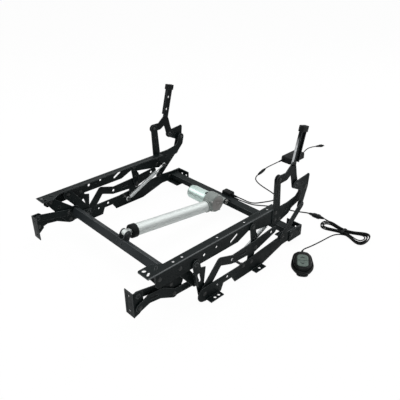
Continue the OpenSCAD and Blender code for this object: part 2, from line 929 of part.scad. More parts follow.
module handset_lead() { color(plastic) cord(lead_route, cord_r, 2); }
module dc_lead() { color(plastic) cord(dc_lead_route, cord_r, 2); }
module dc_cord() { color(plastic) cord(dc_route, cord_r, 2); }
module mains_cord() { color(plastic) cord(mains_route, cord_r, 2); }
module handset_cord() {
    color(plastic)
        tube_along(thin_path, [for (p = thin_path) [0, 0, 1]], thin_r, 6);
}

// A moulded connector between two points on the floor
module connector(a, b, w, h) {
    way = b - a;
    translate(a)
        rotate([0, 0, atan2(way[1], way[0])])
            translate([0, -w / 2, -h / 2])
                cube([norm(way), w, h]);
}

module handset_connector() { color(plastic) connector(plug_a, plug_b, 20, 14); }
module mains_plug() { color(plastic) connector(mains_a, mains_b, 16, 10); }

module dc_connector() {
    way = dc_b - dc_a;
    color(plastic)
        translate(dc_a)
            rotate([0, 90, atan2(way[1], way[0])])
                cylinder(r = 6, h = norm(way));
}

module hank_tie() {
    half = hank_waist + thin_r + 0.6;
    top = hank_z + 3 * thin_r + 1.3;
    color(plastic)
        translate([hank_at[0], hank_at[1], 0])
            rotate([0, 0, hank_turn])
                difference() {
                    translate([-4, -half - 1.2, 0])
                        cube([8, 2 * half + 2.4, top + 1.2]);
                    translate([-5, -half, 1.2])
                        cube([10, 2 * half, top - 1.2]);
                }
}

module power_brick() {
    color(plastic)
        translate([brick_x - brick_w / 2, brick_y, 0])
            cube([brick_w, brick_l, brick_h]);
}

// Outline drawn round corner circles, taken clockwise, with straight tangents between them
function lean(p, rp, q, rq) = atan2(q[1] - p[1], q[0] - p[0]) + acos((rp - rq) / norm(q - p));
function corner(c, r, i) =
    let (n = len(c), before = (i + n - 1) % n, after = (i + 1) % n,
        a0 = lean(c[before], r[before], c[i], r[i]), a1 = lean(c[i], r[i], c[after], r[after]),
        sweep = (a1 - a0 - 720) % 360)
    [for (k = [0:6]) c[i] + r[i] * [cos(a0 + sweep * k / 6), sin(a0 + sweep * k / 6)]];
module outline(c, r, inset = 0) {
    radii = [for (v = r) v - inset];
    polygon([for (i = [0:len(c) - 1]) each corner(c, radii, i)]);
}

module rounded(l, w, r) {
    x = l / 2 - r;
    y = w / 2 - r;
    outline([[-x, y], [x, y], [x, -y], [-x, -y]], [r, r, r, r]);
}

// Handset: a rounded shell widest below its middle, a crown in two steps, a lip and two buttons
button_s = 16;
pocket_d = 8;
shell_r = [14, 20, 14, 14, 20, 14];
shell_c = [
    [shell_r[0] - hand_l / 2, hand_w / 5], [10, hand_w / 2 - shell_r[1]], [hand_l / 2 - 20, 8],
    [hand_l / 2 - 20, -8], [10, shell_r[1] - hand_w / 2], [shell_r[0] - hand_l / 2, -hand_w / 5]];
module on_handset() {
    translate([hand_at[0], hand_at[1], 0])
        rotate([0, 0, hand_turn])
            children();
}

module handset_body() {
    color(plastic)
        on_handset()
            difference() {
                union() {
                    linear_extrude(hand_t - 7) outline(shell_c, shell_r);
                    translate([0, 0, 1]) linear_extrude(hand_t - 4) outline(shell_c, shell_r, 3);
                    translate([0, 0, 2]) linear_extrude(hand_t - 2) outline(shell_c, shell_r, 7);
                    linear_extrude(hand_t / 2)
                        outline([[20, 8], [hand_l / 2 - 10, 8], [hand_l / 2 - 10, -8], [20, -8]],
                            [10, 10, 10, 10]);
                }
                for (x = [-button_s, button_s])
                    translate([x, 0, hand_t - pocket_d])
                        linear_extrude(pocket_d + 1)
                            rounded(pad_l + 2 * fit_clear, pad_w + 2 * fit_clear, 7 + fit_clear);
            }
}

module button_at(x) {
    floor_z = hand_t - pocket_d + button_travel + 0.5;
    on_handset()
        translate([x, 0, floor_z])
            linear_extrude(hand_t + 1.5 - floor_z)
                rounded(pad_l, pad_w, 7);
}

module button_open() { color(grey) button_at(-button_s); }
module button_close() { color(grey) button_at(button_s); }

left_base_rail();
right_base_rail();
left_base_bar();
right_base_bar();
rear_brackets();
rear_tube();
clevis_pin();
base_rivets();
left_rear_lift_link();
right_rear_lift_link();
left_front_lift_link();
right_front_lift_link();
left_seat_rail();
right_seat_rail();
left_rear_plate();
right_rear_plate();
seat_rivets();
left_drive_crank();
right_drive_crank();
front_tube();
crank_rivets();
left_lower_arm();
right_lower_arm();
arm_rivets();
left_upper_arm();
right_upper_arm();
left_ottoman_link();
right_ottoman_link();
left_ottoman_bracket();
right_ottoman_bracket();
left_back_bracket();
right_back_bracket();
back_caps();
left_bell_crank();
right_bell_crank();
left_recline_link();
right_recline_link();
left_spring();
right_spring();
gearbox();
motor_can();
actuator_tube();
front_collar();
actuator_rod();
connector_box();
handset_lead();
handset_connector();
handset_cord();
hank_tie();
handset_body();
button_open();
button_close();
dc_lead();
dc_connector();
dc_cord();
power_brick();
mains_cord();
mains_plug();
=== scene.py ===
# %% [markdown]
# A powered recliner mechanism, dressed for a picture. The steel plates, tubes and the actuator
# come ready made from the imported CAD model, and this lesson gives them their finishes. It also
# draws what CAD only sketches: round spring wire, soft cords, moulded plastic shells and rolled
# rivet heads.

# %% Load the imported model
import json
import math
import bmesh
import bpy
from mathutils import Matrix, Vector


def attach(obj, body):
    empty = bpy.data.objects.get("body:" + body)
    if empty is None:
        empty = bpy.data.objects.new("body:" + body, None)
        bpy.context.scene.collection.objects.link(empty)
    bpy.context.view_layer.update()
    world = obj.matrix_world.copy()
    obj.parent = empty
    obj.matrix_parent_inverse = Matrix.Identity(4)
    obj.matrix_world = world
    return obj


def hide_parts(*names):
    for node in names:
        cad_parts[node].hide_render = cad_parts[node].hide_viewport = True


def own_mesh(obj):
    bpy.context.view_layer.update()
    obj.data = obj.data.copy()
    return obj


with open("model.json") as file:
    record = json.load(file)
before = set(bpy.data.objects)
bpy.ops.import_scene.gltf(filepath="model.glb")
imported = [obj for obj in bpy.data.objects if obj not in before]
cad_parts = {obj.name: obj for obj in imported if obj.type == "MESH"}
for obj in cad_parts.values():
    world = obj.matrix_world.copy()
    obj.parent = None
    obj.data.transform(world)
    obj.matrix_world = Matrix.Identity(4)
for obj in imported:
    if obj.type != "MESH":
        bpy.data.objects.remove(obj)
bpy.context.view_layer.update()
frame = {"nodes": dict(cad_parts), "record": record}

MM = 0.001
nodes = frame["nodes"]
scene = bpy.context.scene

# %% [markdown]
# The camera stands where the photograph was taken: in front of the sitter's left knee and a little
# above the seat. Its three axes were found by fitting straight edges of the rails, so they are
# written out as a rotation matrix. The lens is close to a normal one, so the far linkage comes out
# a little smaller than the near one.

# %% Camera
def placed(name, data):
    """A new object, linked into the scene."""
    made = bpy.data.objects.new(name, data)
    scene.collection.objects.link(made)
    return made


camera_data = bpy.data.cameras.new("photo_camera")
camera_data.sensor_width = 36.0
camera_data.lens = 43.32
camera = placed("photo_camera", camera_data)
camera_at = (1.02108, -0.83525, 0.88908)
camera_right = Vector((0.692739, 0.721171, -0.005064))
camera_up = Vector((-0.350117, 0.342435, 0.871869))
camera_back = Vector((0.630501, -0.602205, 0.489712))
turn = Matrix((camera_right, camera_up, camera_back)).transposed()
camera.matrix_world = Matrix.Translation(camera_at) @ turn.to_4x4()
scene.camera = camera
scene.view_settings.view_transform = "Standard"
print("camera at", [round(v, 2) for v in camera.location], "m, lens", camera_data.lens, "mm")

# %% [markdown]
# Black hardware on a white sheet needs large soft lamps, or the plates turn into silhouettes. The
# world is white to the camera and to reflections, but gives only part of the diffuse light, so the
# lamps still model the shapes. The floor mixes in plain white for the camera, which leaves a soft
# shadow under the rails and keeps the sheet bright.

# %% Studio
WHITE, SHEET_COLOUR = (1, 1, 1, 1), (0.93, 0.93, 0.93, 1)
SKY_STRENGTH, SHEET_GLOW = 0.5, 0.96
SHEET_HALF, SHEET_DROP = 12.0, 0.0002


def add(tree, kind, values=None, **traits):
    """A new node. An input takes a plain value, or a link where it is given a socket."""
    node = tree.nodes.new(kind)
    for trait, value in traits.items():
        setattr(node, trait, value)
    for slot, value in (values or {}).items():
        if isinstance(value, bpy.types.NodeSocket):
            tree.links.new(value, node.inputs[slot])
        else:
            node.inputs[slot].default_value = value
    return node


def make_world():
    world = bpy.data.worlds.new("white_studio")
    scene.world = world
    world.use_nodes = True
    tree = world.node_tree
    tree.nodes.clear()
    rays = add(tree, "ShaderNodeLightPath").outputs
    seen = add(tree, "ShaderNodeMath", {0: rays["Is Camera Ray"], 1: rays["Is Glossy Ray"]},
               operation="MAXIMUM").outputs[0]
    shown = add(tree, "ShaderNodeMath", {0: seen, 1: rays["Is Transmission Ray"]},
                operation="MAXIMUM").outputs[0]
    soft = add(tree, "ShaderNodeBackground", {"Color": WHITE, "Strength": SKY_STRENGTH}).outputs[0]
    full = add(tree, "ShaderNodeBackground", {"Color": WHITE, "Strength": 1.0}).outputs[0]
    mix = add(tree, "ShaderNodeMixShader", {0: shown, 1: soft, 2: full}).outputs[0]
    add(tree, "ShaderNodeOutputWorld", {"Surface": mix})


def make_floor():
    s = SHEET_HALF
    mesh = bpy.data.meshes.new("studio_floor")
    mesh.from_pydata([(-s, -s, 0), (s, -s, 0), (s, s, 0), (-s, s, 0)], [], [(0, 1, 2, 3)])
    floor = placed("studio_floor", mesh)
    floor.location.z = -SHEET_DROP
    sheet = bpy.data.materials.new("white_sheet")
    sheet.use_nodes = True
    tree = sheet.node_tree
    tree.nodes.clear()
    rays = add(tree, "ShaderNodeLightPath").outputs
    share = add(tree, "ShaderNodeMath", {0: rays["Is Camera Ray"], 1: SHEET_GLOW},
                operation="MULTIPLY").outputs[0]
    matt = add(tree, "ShaderNodeBsdfDiffuse", {"Color": SHEET_COLOUR}).outputs[0]
    glow = add(tree, "ShaderNodeEmission", {"Strength": 1.0}).outputs[0]
    mix = add(tree, "ShaderNodeMixShader", {0: share, 1: matt, 2: glow}).outputs[0]
    add(tree, "ShaderNodeOutputMaterial", {"Surface": mix})
    mesh.materials.append(sheet)


def make_lamp(name, place, aim, size, watts):
    data = bpy.data.lights.new(name, "AREA")
    data.shape, data.size, data.energy = "SQUARE", size, watts
    lamp = placed(name, data)
    lamp.location = place
    lamp.rotation_euler = (Vector(aim) - Vector(place)).to_track_quat("-Z", "Y").to_euler()


make_world()
make_floor()
make_lamp("overhead_box", (0.1, 0.1, 2.6), (0, 0.1, 0), size=2.2, watts=42)
make_lamp("left_box", (-2.2, -1.2, 1.8), (0, 0, 0.1), size=1.4, watts=20)
make_lamp("rear_strip", (0.4, 2.8, 1.9), (0, 0.2, 0.1), size=1.2, watts=22)
print("lamps:", sorted(light.name for light in bpy.data.lights))

# %% [markdown]
# Every finish is procedural. A real e-coat is not one flat black: it is slightly orange-peeled and
# dusty in places. Noise on Object coordinates drives a small change of colour, of roughness and of
# bump, each at its own scale in metres. The left upright also carries a painted highlight streak.

# %% Finish helpers
CLOUD_SCALE, CLOUD_BAND, GLOSS_SCALE = 14.0, (0.35, 0.68), 55.0
LINE_BAND, LINE_BUMP, LINE_DEPTH = (0.3, 0.7), 0.12, 0.0002
GRAIN_BUMP, GRAIN_DEPTH = 0.35, 0.0001


def finish_base(name, metallic, specular):
    material = bpy.data.materials.new(name)
    material.use_nodes = True
    tree = material.node_tree
    shader = tree.nodes["Principled BSDF"]
    shader.inputs["Metallic"].default_value = metallic
    shader.inputs["Specular IOR Level"].default_value = specular
    return material, tree, shader, add(tree, "ShaderNodeTexCoord").outputs["Object"]


def noise(tree, where, scale, detail=3.0):
    return add(tree, "ShaderNodeTexNoise",
               {"Vector": where, "Scale": scale, "Detail": detail}).outputs["Fac"]


def ramp(tree, value, band, colours):
    """One colour up to the start of the band, the other from its end, and a blend between."""
    node = add(tree, "ShaderNodeValToRGB", {"Fac": value})
    for element, at, colour in zip(node.color_ramp.elements, band, colours):
        element.position = at
        element.color = (*colour, 1)
    return node.outputs["Color"]


def spread(tree, value, low, high):
    """Noise lies mostly between 0.3 and 0.7, and this spreads it from low to high."""
    ends = {"From Min": 0.3, "From Max": 0.7, "To Min": low, "To Max": high}
    return add(tree, "ShaderNodeMapRange", {"Value": value, **ends}).outputs["Result"]


def stretched(tree, where, factors, tilt=(0, 0, 0)):
    return add(tree, "ShaderNodeMapping",
               {"Vector": where, "Scale": factors, "Rotation": tilt}).outputs["Vector"]


def mottled(tree, where, dark, light):
    return ramp(tree, noise(tree, where, CLOUD_SCALE, 5.0), CLOUD_BAND, (dark, light))


def dress(tree, shader, colour, rough, height, strength, depth):
    """Gives the shader its colour, its roughness and its bump."""
    normal = add(tree, "ShaderNodeBump",
                 {"Height": height, "Strength": strength, "Distance": depth}).outputs["Normal"]
    for socket, source in (("Base Color", colour), ("Roughness", rough), ("Normal", normal)):
        tree.links.new(source, shader.inputs[socket])


def speckled_finish(name, dark, light, rough, grain, depth=GRAIN_DEPTH, metallic=0.0,
                    specular=0.5):
    """Paint or moulded plastic: mottled colour, uneven gloss and a fine skin of bumps."""
    material, tree, shader, where = finish_base(name, metallic, specular)
    gloss = spread(tree, noise(tree, where, GLOSS_SCALE), *rough)
    dress(tree, shader, mottled(tree, where, dark, light), gloss,
          noise(tree, where, grain, 2.0), GRAIN_BUMP, depth)
    return material


def brushed_finish(name, dark, light, rough, factors, tilt=(0, 0, 0)):
    """Bare metal with fine lines: noise squeezed across the lines and drawn out along them."""
    material, tree, shader, where = finish_base(name, metallic=1.0, specular=0.5)
    lines = noise(tree, stretched(tree, where, factors, tilt), 1.0, 4.0)
    dress(tree, shader, ramp(tree, lines, LINE_BAND, (dark, light)), spread(tree, lines, *rough),
          lines, LINE_BUMP, LINE_DEPTH)
    return material


print("cloud", round(1 / CLOUD_SCALE, 3), "m, gloss patches", round(1 / GLOSS_SCALE, 3), "m")

# %% [markdown]
# Each row of this cell is one finish of the real part, from its darkest to its lightest colour,
# with its range of roughness and the scale of its grain. The steel is nearly black. Its edges are
# a lighter grey, partly wear and partly a painted highlight, and the front tube's coat is lighter
# with painted light. The actuator brings the bright metals, and the handset a greenish grey pad.

# %% Steel, metal and plastic finishes
COAT_GRAIN, PLATE_GRAIN, CAST_GRAIN, MOULD_GRAIN, CORD_GRAIN = 900.0, 700.0, 1400.0, 1800.0, 2200.0
black_coat = speckled_finish(
    "black_e_coat", (0.0026, 0.0046, 0.0048), (0.006, 0.0092, 0.0094), (0.4, 0.54), COAT_GRAIN,
    specular=0.08)
# Edge coat: a lighter grey for bevelled edges, partly wear and partly a painted highlight.
edge_wear_and_highlight = speckled_finish(
    "edge_wear_and_highlight_e_coat", (0.028, 0.033, 0.035), (0.075, 0.083, 0.086), (0.34, 0.46), COAT_GRAIN,
    specular=0.4)
# The front tube's coat is lighter than the plain black: painted light, standing in for lamp light
# on its front face.
front_tube_lit_coat = speckled_finish(
    "front_tube_painted_light_coat", (0.013, 0.0162, 0.0178), (0.021, 0.0252, 0.0272), (0.4, 0.54), COAT_GRAIN,
    specular=0.12)
zinc_plate = speckled_finish(
    "zinc_plate", (0.42, 0.42, 0.41), (0.62, 0.62, 0.61), (0.3, 0.46), PLATE_GRAIN, metallic=1.0)
dark_rivet = speckled_finish(
    "blackened_rivet", (0.007, 0.0085, 0.0085), (0.016, 0.018, 0.018), (0.28, 0.42), PLATE_GRAIN,
    specular=0.25)
spring_wire = speckled_finish(
    "spring_wire", (0.42, 0.44, 0.44), (0.54, 0.56, 0.56), (0.4, 0.54), PLATE_GRAIN, metallic=1.0)
actuator_lean = math.radians(-7.326)
drawn_alloy = brushed_finish(
    "drawn_alloy", (0.47, 0.5, 0.49), (0.56, 0.59, 0.58), (0.54, 0.68), (700.0, 9.0, 700.0),
    (actuator_lean, 0, 0))
motor_steel = brushed_finish(
    "motor_steel", (0.42, 0.52, 0.49), (0.52, 0.62, 0.59), (0.36, 0.5), (12.0, 600.0, 600.0))
gear_grey = speckled_finish(
    "gear_grey", (0.155, 0.176, 0.167), (0.22, 0.245, 0.233), (0.42, 0.56), CAST_GRAIN, 0.00012,
    specular=0.4)
gear_face = speckled_finish(
    "gear_face", (0.19, 0.185, 0.177), (0.25, 0.242, 0.232), (0.4, 0.52), CAST_GRAIN, specular=0.4)
black_moulding = speckled_finish(
    "black_moulding", (0.0026, 0.0033, 0.0034), (0.0056, 0.0068, 0.007), (0.42, 0.58), MOULD_GRAIN,
    specular=0.08)
handset_moulding = speckled_finish(
    "handset_moulding", (0.0035, 0.004, 0.004), (0.007, 0.008, 0.0078), (0.3, 0.42), MOULD_GRAIN,
    0.00006, specular=0.07)
button_moulding = speckled_finish(
    "button_moulding", (0.075, 0.105, 0.09), (0.095, 0.13, 0.112), (0.34, 0.46), MOULD_GRAIN,
    0.00008, specular=0.35)
cord_skin = speckled_finish(
    "cord_skin", (0.0022, 0.0025, 0.0025), (0.0046, 0.0052, 0.0052), (0.45, 0.6), CORD_GRAIN,
    0.00008, specular=0.06)
print("finishes so far:", len(bpy.data.materials))

# %% [markdown]
# The front of the left upright carries a painted highlight: a bright streak of reflected light,
# painted into its colour. The mask for that is a box: each band is a soft step along one axis of
# the leaning upright, and all steps are multiplied. Then every CAD node gets the finish of its
# material slot.

# %% Painted highlight on the upright, and a finish for every node
UPRIGHT_FOOT, UPRIGHT_LEAN = (0, 0.241, 0.286), math.radians(-14.5)
HIGHLIGHT_BANDS = [("Y", -0.0104, -0.0112), ("X", 0.2872, 0.2884), ("X", 0.2952, 0.2936),
             ("Z", 0.006, 0.014), ("Z", 0.092, 0.06)]
MIX_A, MIX_B, MIX_RESULT = 6, 7, 2


# The light colour inside the mask is a painted highlight, a streak of reflected light, not worn
# metal.
def highlight_streak_finish(name, dark, light, highlight):
    material, tree, shader, where = finish_base(name, metallic=0.0, specular=0.06)
    level = add(tree, "ShaderNodeMapping", {
        "Vector": where, "Location": UPRIGHT_FOOT, "Rotation": (UPRIGHT_LEAN, 0, 0)},
        vector_type="TEXTURE").outputs["Vector"]
    along = add(tree, "ShaderNodeSeparateXYZ", {"Vector": level}).outputs
    mask = spread(tree, noise(tree, stretched(tree, where, (30.0, 400.0, 18.0)), 1.0), 0.55, 1.0)
    for axis, first, last in HIGHLIGHT_BANDS:
        step = add(tree, "ShaderNodeMapRange", {
            "Value": along[axis], "From Min": first, "From Max": last},
            interpolation_type="SMOOTHSTEP").outputs["Result"]
        mask = add(tree, "ShaderNodeMath", {0: mask, 1: step}, operation="MULTIPLY").outputs[0]
    colour = add(tree, "ShaderNodeMix", {
        "Factor": mask, MIX_A: mottled(tree, where, dark, light), MIX_B: (*highlight, 1)},
        data_type="RGBA").outputs[MIX_RESULT]
    gloss = spread(tree, noise(tree, where, GLOSS_SCALE), 0.36, 0.5)
    dress(tree, shader, colour, gloss,
          noise(tree, where, COAT_GRAIN, 2.0), GRAIN_BUMP, GRAIN_DEPTH)
    return material


def give(obj, material):
    obj.data.materials.clear()
    obj.data.materials.append(material)


# Black coat with a painted highlight streak on the front of the left upright.
upright_highlight_coat = highlight_streak_finish(
    "painted_highlight_e_coat", (0.0026, 0.0036, 0.004), (0.0052, 0.0068, 0.0074), (0.62, 0.64, 0.65))
FINISH_OF_SLOT = {
    "black_steel": black_coat, "zinc_steel": zinc_plate, "bright_alloy": drawn_alloy,
    "gearbox_grey": gear_grey, "black_plastic": black_moulding, "button_grey": button_moulding,
    "cord_black": cord_skin}
slot_of = {part["node"]: part["material_slot"] for part in frame["record"]["subparts"]}
for name, node in nodes.items():
    give(node, FINISH_OF_SLOT[slot_of[name]])
give(nodes["motor_can"], motor_steel)
for name in ("base_rivets", "seat_rivets", "crank_rivets", "arm_rivets"):
    give(nodes[name], dark_rivet)
print("finishes on", len(nodes), "CAD nodes")

# %% [markdown]
# Most moulded pieces here are lofts: a row of outlines joined into one skin, with a face at each
# end. A lathe turning is the same thing with circles. Writing the loft once keeps every later cell
# short. All shapes are drawn in millimetres and scaled to metres when the mesh is made.

# %% Loft helpers
def loops_of(bm, rings):
    return [[bm.verts.new(point) for point in ring] for ring in rings]


def wall(bm, a, b):
    """Four-sided faces between two closed loops of equal count."""
    for i in range(len(a)):
        j = (i + 1) % len(a)
        bm.faces.new((a[i], a[j], b[j], b[i]))


def skin(bm, rings):
    """Joins outlines of equal count into one closed skin."""
    loops = loops_of(bm, rings)
    for a, b in zip(loops, loops[1:]):
        wall(bm, a, b)
    bm.faces.new(loops[0][::-1])
    bm.faces.new(loops[-1])


def oval(centre, side, up, half_w, half_h, power=2.0, count=32):
    """Outline between an ellipse, power 2, and a rounded rectangle, power 6 or more."""
    ring = []
    for k in range(count):
        a = 2 * math.pi * (k + 0.5) / count
        c, s = math.cos(a), math.sin(a)
        ring.append(centre + side * math.copysign(abs(c) ** (2 / power), c) * half_w
                    + up * math.copysign(abs(s) ** (2 / power), s) * half_h)
    return ring


def turned(bm, centre, axis, profile, count=48):
    """A lathe turning: profile pairs are the place along the axis and the radius there."""
    axis = Vector(axis).normalized()
    side = axis.orthogonal().normalized()
    up = axis.cross(side)
    skin(bm, [oval(Vector(centre) + axis * at, side, up, r, r, 2.0, count) for at, r in profile])


print("loft helpers ready")

# %% [markdown]
# A finished mesh becomes a piece of the model in one place: it gets its finish and smooth shading,
# rides on a body and hides the CAD nodes that it stands for.

# %% Piece helpers
def metre_mesh(name, bm):
    """The mesh in metres of a shape that was drawn in millimetres, with its faces outwards."""
    bmesh.ops.recalc_face_normals(bm, faces=bm.faces)
    bm.transform(Matrix.Scale(MM, 4))
    mesh = bpy.data.meshes.new(name)
    bm.to_mesh(mesh)
    bm.free()
    return mesh


def piece_of(name, mesh, body, slot, *replaced, sharp=35):
    mesh.name = name
    mesh.shade_smooth()
    mesh.set_sharp_from_angle(angle=math.radians(sharp))
    made = placed(name, mesh)
    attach(made, body)
    if replaced:
        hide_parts(*replaced)
    return made


def piece(name, bm, material, body, slot, *replaced, sharp=35):
    mesh = metre_mesh(name, bm)
    mesh.materials.append(material)
    return piece_of(name, mesh, body, slot, *replaced, sharp=sharp)


def base_moulding(name, bm, *replaced):
    """A black plastic piece that lies still with the base."""
    return piece(name, bm, black_moulding, "base", "black_plastic", *replaced)


print("piece helpers ready")

# %% [markdown]
# The cords lie on the floor where the CAD solids lie, so their route points are repeated here in
# millimetres. A smooth curve through a few given points looks like a relaxed cable.

# %% Cord routes
CORD_R, THIN_R = 2.2, 2.0
plug_a, plug_b = Vector((227, 460, 7)), Vector((283, 467, 7))
dc_a, dc_b = Vector((-102, 570, 6)), Vector((-118, 636, 6))
mains_a, mains_b = Vector((-107, 994, 5)), Vector((-88, 1029, 5))
BRICK_FRONT, BRICK_REAR = 750, 854
HAND_AT, HAND_TURN, HAND_L = Vector((386, 197, 0)), math.radians(-54), 112
hand_way = Vector((math.cos(HAND_TURN), math.sin(HAND_TURN), 0))
cord_in = HAND_AT - hand_way * HAND_L / 2 + Vector((0, 0, 8))

routes = {
    "handset_lead": [(-4, 310, 38), (16, 313, 37), (38, 328, 29), (50, 352, 14), (60, 376, 5),
                     (82, 398, 2.8), (112, 416, 2.6), (150, 431, 2.6), (184, 443, 3.2),
                     (208, 454, 6), plug_a],
    "dc_lead": [(-4, 304, 52), (14, 306, 51), (34, 320, 42), (44, 344, 24), (46, 374, 9),
                (52, 402, 3), (66, 430, 2.6), (76, 452, 2.6), (70, 474, 2.6), (50, 488, 2.6),
                (28, 495, 2.6), (0, 501, 2.6), (-40, 511, 2.8), (-76, 526, 3.4), (-95, 545, 5.4),
                dc_a],
    "dc_cord": [dc_b, (-123, 658, 4.6), (-126, 690, 2.8), (-122, 722, 6), (-114, 738, 12),
                (-112, BRICK_FRONT, 14)],
    "mains_cord": [(-99, BRICK_REAR, 14), (-100, 870, 12), (-106, 890, 5), (-116, 918, 2.6),
                   (-123, 950, 2.6), (-118, 976, 3.6), mains_a]}
tail_route = [(387, 424, 8), (376, 421, 6.4), (364, 410, 4), (358, 392, 2.4), (355, 366, 2.4),
              (351, 330, 2.4), (346, 292, 3.4), (342, 268, 5),
              cord_in - hand_way * 10 - Vector((0, 0, 0.4)), cord_in]


def smooth(points, steps=8):
    """A smooth curve through the points, the same one that the CAD solids follow."""
    points = [Vector(p) for p in points]
    path = []
    for i in range(len(points) - 1):
        before, a, b, after = (points[max(i - 1, 0)], points[i], points[i + 1],
                               points[min(i + 2, len(points) - 1)])
        for k in range(steps):
            t = k / steps
            path.append(0.5 * (2 * a + (b - before) * t
                               + (2 * before - 5 * a + 4 * b - after) * t * t
                               + (3 * a - before - 3 * b + after) * t ** 3))
    return path + [points[-1]]


def settled(path, radius, gap, passes):
    """Points at even spacing, relaxed so that no join kinks, and never under the floor."""
    even, left = [path[0]], gap
    for a, b in zip(path, path[1:]):
        run = (b - a).length
        while run > left:
            a = a + (b - a) * (left / run)
            run -= left
            even.append(a)
            left = gap
        left -= run
    if (even[-1] - path[-1]).length < gap / 2:
        even.pop()
    even.append(path[-1])
    for _ in range(passes):
        even[2:-2] = [(before + 2 * here + after) / 4
                      for before, here, after in zip(even[1:], even[2:-2], even[3:])]
    return [Vector((p.x, p.y, max(p.z, radius + 0.2))) for p in even]


point_gap = {"handset_lead": 12, "dc_lead": 12, "dc_cord": 7, "mains_cord": 8}
paths = {name: settled(smooth(route), CORD_R, point_gap[name], passes=2)
         for name, route in routes.items()}
print("path points:", {name: len(path) for name, path in paths.items()})

# %% [markdown]
# The handset cord is shipped folded into a hank and tied at the waist. Each turn of the hank is
# one trip round a figure that is wide at both ends, so a single formula gives all the turns: they
# wind inwards on the floor, step up by one cord and wind outwards again on top.

# %% Hank
HANK_AT, HANK_TURN = Vector((376, 444, 0)), math.radians(5)
HANK_START, HANK_LOOPS, HANK_STEPS = 140, 4 + 215 / 360, 260
HANK_HALF, HANK_WAIST, LOBE, LOBE_WIDTH, LOBE_LEAN = 86, 13.4, 2.6, 27, 0.25
HALF_STEP, WAIST_STEP, LOBE_STEP = 6, 4.7, 5.4
CLIMB, LAYER_GAP, FLOOR_GAP = 0.4, 0.7, 1.8


def hank_point(t):
    angle = math.radians(HANK_START - 360 * t)
    inward = min(t, HANK_LOOPS - t)
    c, s = math.cos(angle), math.sin(angle)
    x = (HANK_HALF - HALF_STEP * inward) * c
    y = s * (HANK_WAIST - WAIST_STEP * inward
             + LOBE * c * c * (1 + LOBE_LEAN * c) * (LOBE_WIDTH - LOBE_STEP * inward))
    u = max(0, min(1, (t - HANK_LOOPS / 2 + CLIMB / 2) / CLIMB))
    z = THIN_R + FLOOR_GAP + u * u * (3 - 2 * u) * (2 * THIN_R + LAYER_GAP)
    ct, st = math.cos(HANK_TURN), math.sin(HANK_TURN)
    return Vector((HANK_AT.x + x * ct - y * st, HANK_AT.y + x * st + y * ct, z))


hank_loop = [hank_point(HANK_LOOPS * i / HANK_STEPS) for i in range(HANK_STEPS + 1)]
thin_path = ([plug_b, plug_b + Vector((6, 0.8, -0.6))] + hank_loop
             + smooth([hank_loop[-1]] + tail_route)[1:])
paths["handset_cord"] = settled(thin_path, THIN_R, gap=5, passes=3)
print("the hank has", round(HANK_LOOPS, 1), "turns and", len(paths["handset_cord"]), "points")

# %% [markdown]
# Moulded connectors swell from the cord in steps: a soft strain relief, a grip, then the shell of
# the plug. A loft with a station wherever the width changes gives all of that. The strain reliefs
# follow the first centimetres of their cord, so that a bent cord leaves its housing without a gap.
# The places of their grooved rings are only noted here, and one node tree makes all the rings
# later.

# %% Connector helpers
UP = Vector((0, 0, 1))
RELIEF_PARTS, RING_GAP, RING_MARGIN, SUNK = 3, 3.4, 2, 1.5
ring_places = []


def cross_axes(way):
    side = way.cross(UP).normalized()
    return side, side.cross(way)


def moulded(bm, a, b, stations, power=3.0):
    """A loft from a to b: a station is the share of the way, half the width, half the height."""
    axes = cross_axes((b - a).normalized())
    skin(bm, [oval(a + (b - a) * t, *axes, w, h, power) for t, w, h in stations])


def relief(bm, path, length, r0, r1=2.7):
    """A tapered sleeve along the first stretch of a path, with grooved rings on it."""
    way = (path[1] - path[0]).normalized()
    rings = [oval(path[0] - way * SUNK, *cross_axes(way), r0, r0)]
    run, last_ring = 0.0, -RING_GAP
    for here, after in zip(path, path[1:]):
        step = (after - here).length
        way = (after - here).normalized()
        for k in range(RELIEF_PARTS):
            at = run + step * k / RELIEF_PARTS
            if at > length:
                break
            r = r0 + (r1 - r0) * at / length
            spot = here + (after - here) * (k / RELIEF_PARTS)
            rings.append(oval(spot, *cross_axes(way), r, r))
            if at - last_ring >= RING_GAP and RING_MARGIN < at < length - RING_MARGIN:
                ring_places.append((spot, way, r))
                last_ring = at
        run += step
        if run > length:
            break
    skin(bm, rings)


def rings_between(a, b, t0, t1, r0, r1, count=3):
    for k in range(count):
        f = (k + 0.5) / count
        ring_places.append((a + (b - a) * (t0 + (t1 - t0) * f), (b - a).normalized(),
                            r0 + (r1 - r0) * f))


print("a relief ring every", RING_GAP, "mm")

# %% Connectors
bm = bmesh.new()
moulded(bm, plug_a, plug_b, [
    (0.0, 2.9, 2.9), (0.03, 3.4, 3.4), (0.24, 5.2, 4.9), (0.26, 7.4, 5.8), (0.29, 8.2, 6.4),
    (0.46, 9.0, 6.8), (0.49, 8.8, 6.6), (0.5, 7.9, 5.9), (0.53, 7.9, 5.9), (0.54, 9.4, 6.6),
    (0.57, 10.0, 7.0), (0.72, 9.2, 6.7), (0.76, 6.6, 5.4), (0.79, 5.2, 4.6), (0.97, 3.4, 3.2),
    (1.0, 2.7, 2.7)])
rings_between(plug_a, plug_b, 0.05, 0.23, 3.7, 5.1)
rings_between(plug_a, plug_b, 0.8, 0.96, 5.0, 3.5)
handset_plug = base_moulding("handset_plug", bm, "handset_connector")

